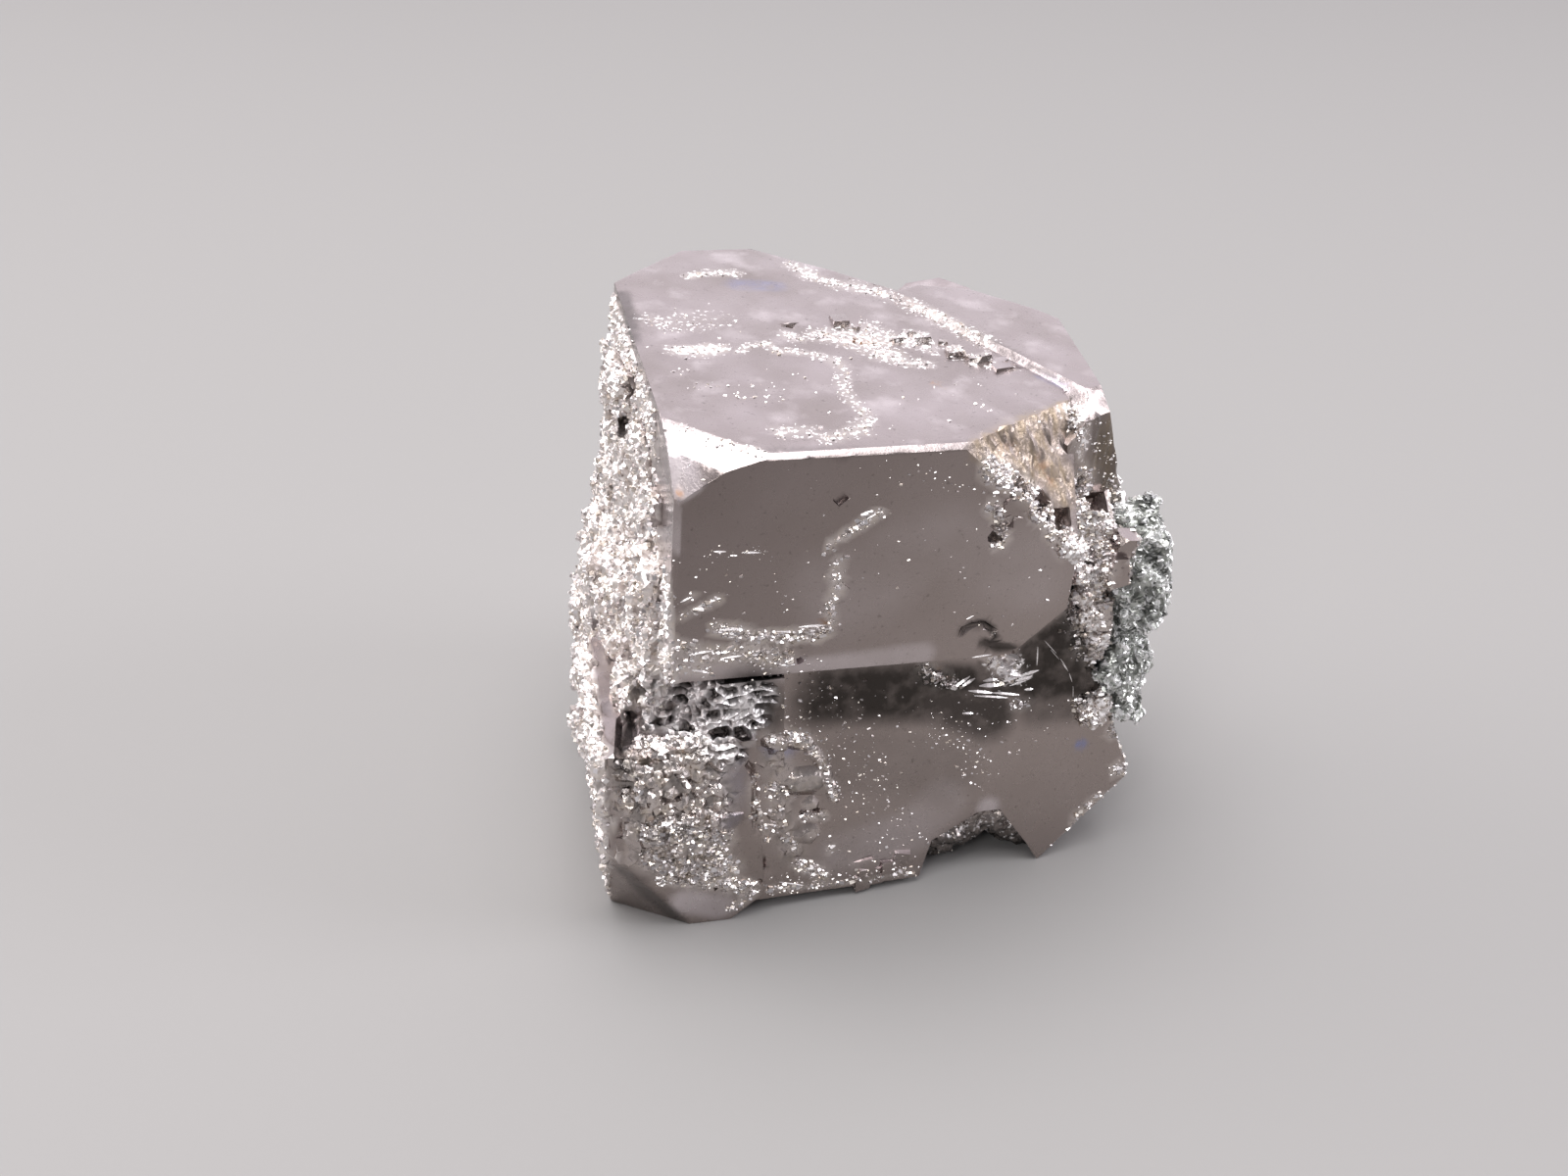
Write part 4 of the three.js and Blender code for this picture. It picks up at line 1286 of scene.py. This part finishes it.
def freshPyrite():
    # the small crystals keep more of the metal's shine: each has its own shade, from steel to straw
    material, tree, place = newMaterial("freshPyrite")
    tone = addNode(tree, "ShaderNodeAttribute", attribute_name="tone").outputs["Fac"]
    painted = addNode(tree, "ShaderNodeAttribute", attribute_name="rust").outputs["Fac"]
    # a second chance for each crystal, from the later digits of its tone
    second = addNode(tree, "MULTIPLY", {0: tone, 1: tarnish["laterDigits"]})
    second = addNode(tree, "FRACT", {0: second})
    straw = addNode(tree, "GREATER_THAN", {0: second, 1: tarnish["strawAbove"]})
    clouds = mottled(tree, place, *patterns["freshCloud"], clamp=True)
    spots = mottled(tree, place, *patterns["freshRust"], clamp=True)
    metal = coated(tree, tarnish["steel"], [
        (tarnish["white"], tone),
        (tarnish["gold"], straw, shares["straw"]),
        (tarnish["dark"], clouds, shares["freshClouds"]),
        (tarnish["rust"], painted, spots),
    ])
    lines = mottled(tree, place, *patterns["growthLines"])
    bump = addNode(tree, "ShaderNodeBump", bumps["growthLines"] | {"Height": lines})
    return finishMaterial(material, "freshPyrite", {"Base Color": metal, "Normal": bump})


def glintPyrite():
    # scratches and bruised edges: nearly white, a painted highlight that makes them show bright
    material, tree, place = newMaterial("glintPyrite")
    powder = mottled(tree, place, *patterns["powder"], clamp=True)
    metal = coated(tree, tarnish["fresh"], [(tarnish["white"], powder)])
    return finishMaterial(material, "glintPyrite", {"Base Color": metal})


def bladedFranckeite():
    # lead tin antimony sulphide in thin flexible blades: greyish black metal with silvery flashes
    material, tree, place = newMaterial("bladedFranckeite")
    tone = addNode(tree, "ShaderNodeAttribute", attribute_name="tone").outputs["Fac"]
    lump = addNode(tree, "ShaderNodeAttribute", attribute_name="lump").outputs["Fac"]
    # some blades are dull and nearly black, others shine like new tin
    dull, bright = franckeite["shine"]
    shine = addNode(tree, "ShaderNodeMapRange", {"Value": tone, "From Min": dull, "From Max": bright},
                    interpolation_type="SMOOTHSTEP")
    # painted shade: the hollows between the clumps are dark
    dark = mottled(tree, place, *patterns["clumps"])
    dark = addNode(tree, "MULTIPLY_ADD", {0: lump, 1: -franckeite["lumpClear"], 2: dark}, use_clamp=True)
    metal = coated(tree, franckeite["dullBlade"], [
        (franckeite["brightBlade"], shine),
        (franckeite["hollow"], dark, franckeite["hollowShadeShare"]),
    ])
    return finishMaterial(material, "bladedFranckeite", {"Base Color": metal})


def paleCard():
    # smooth matt card for the floor
    material = newMaterial("paleCard")[0]
    return finishMaterial(material, "paleCard", {"Base Color": hexColour(studio["floor"])})


# The studio: a pale floor, a surround that is bright behind and dim in front, and soft lights.
studio = {
    "floor": "#8a8887",
    "floorWidth": 1.6,           # m
    "surround": "#f3eff4",
    "surroundStrength": (0.3, 1.42),     # in front, behind
    "surroundTurn": (-0.7, 0.5),         # of the direction, where it starts and stops to change
    "aim": (0, 0, 0.014),                # m, where the lights point
    "lights": {                  # place and width in m
        "overhead": {"place": (-0.03, 0.0, 0.36), "width": 0.36, "brightness": 5.0, "colour": "#ffffff"},
        "left": {"place": (-0.40, 0.10, 0.17), "width": 0.30, "brightness": 4.5, "colour": "#fffcfa"},
        "right": {"place": (0.36, -0.02, 0.20), "width": 0.18, "brightness": 8.0, "colour": "#fafaff"},
        "front": {"place": (-0.2, -0.42, 0.36), "width": 0.16, "brightness": 9.0, "colour": "#ffffff"},
    },
}


def makeStudio():
    bpy.context.scene.view_settings.view_transform = "Standard"
    bpy.ops.object.select_all(action="DESELECT")
    bpy.ops.mesh.primitive_plane_add(size=studio["floorWidth"])
    floor = bpy.context.active_object
    floor.name = "floor"
    floor.data.materials.append(paleCard())

    world = bpy.data.worlds.new("studio")
    bpy.context.scene.world = world
    world.use_nodes = True
    tree = world.node_tree
    tree.nodes.clear()
    direction = addNode(tree, "ShaderNodeTexCoord").outputs["Generated"]
    towardsBack = addNode(tree, "ShaderNodeSeparateXYZ", {0: direction}).outputs[1]
    dim, bright = studio["surroundStrength"]
    front, back = studio["surroundTurn"]
    strength = addNode(tree, "ShaderNodeMapRange",
                       {"Value": towardsBack, "From Min": front, "From Max": back, "To Min": dim,
                        "To Max": bright}, interpolation_type="SMOOTHSTEP")
    sky = addNode(tree, "ShaderNodeBackground",
                  {"Color": hexColour(studio["surround"]), "Strength": strength})
    addNode(tree, "ShaderNodeOutputWorld", {"Surface": sky})

    for name, facts in studio["lights"].items():
        light = bpy.data.lights.new(name, "AREA")
        light.shape = "DISK"
        light.size = facts["width"]
        light.energy = facts["brightness"] * math.pi * math.pi * (facts["width"] / 2) ** 2
        light.color = hexColour(facts["colour"])[:3]
        lamp = addObject(name, light)
        lamp.location = facts["place"]
        towards = Vector(studio["aim"]) - lamp.location
        lamp.rotation_euler = towards.to_track_quat("-Z", "Y").to_euler()
        lamp.visible_camera = False


makeStudio()
print("studio made")
pyriteBody, seen = makePyrite()
shapes = makeCrystalShapes()
fresh = freshPyrite()
for name, facts in druses.items():
    makeDruse(name, facts, pyriteBody, shapes, fresh)
makeGlints(seen, glintPyrite())
tarnished = tarnishedPyrite()
for name, facts in masses.items():
    makeMass(name, facts, seen, tarnished, shapes, fresh)
finishPyrite(pyriteBody, tarnished)
makeFranckeite(bladedFranckeite())
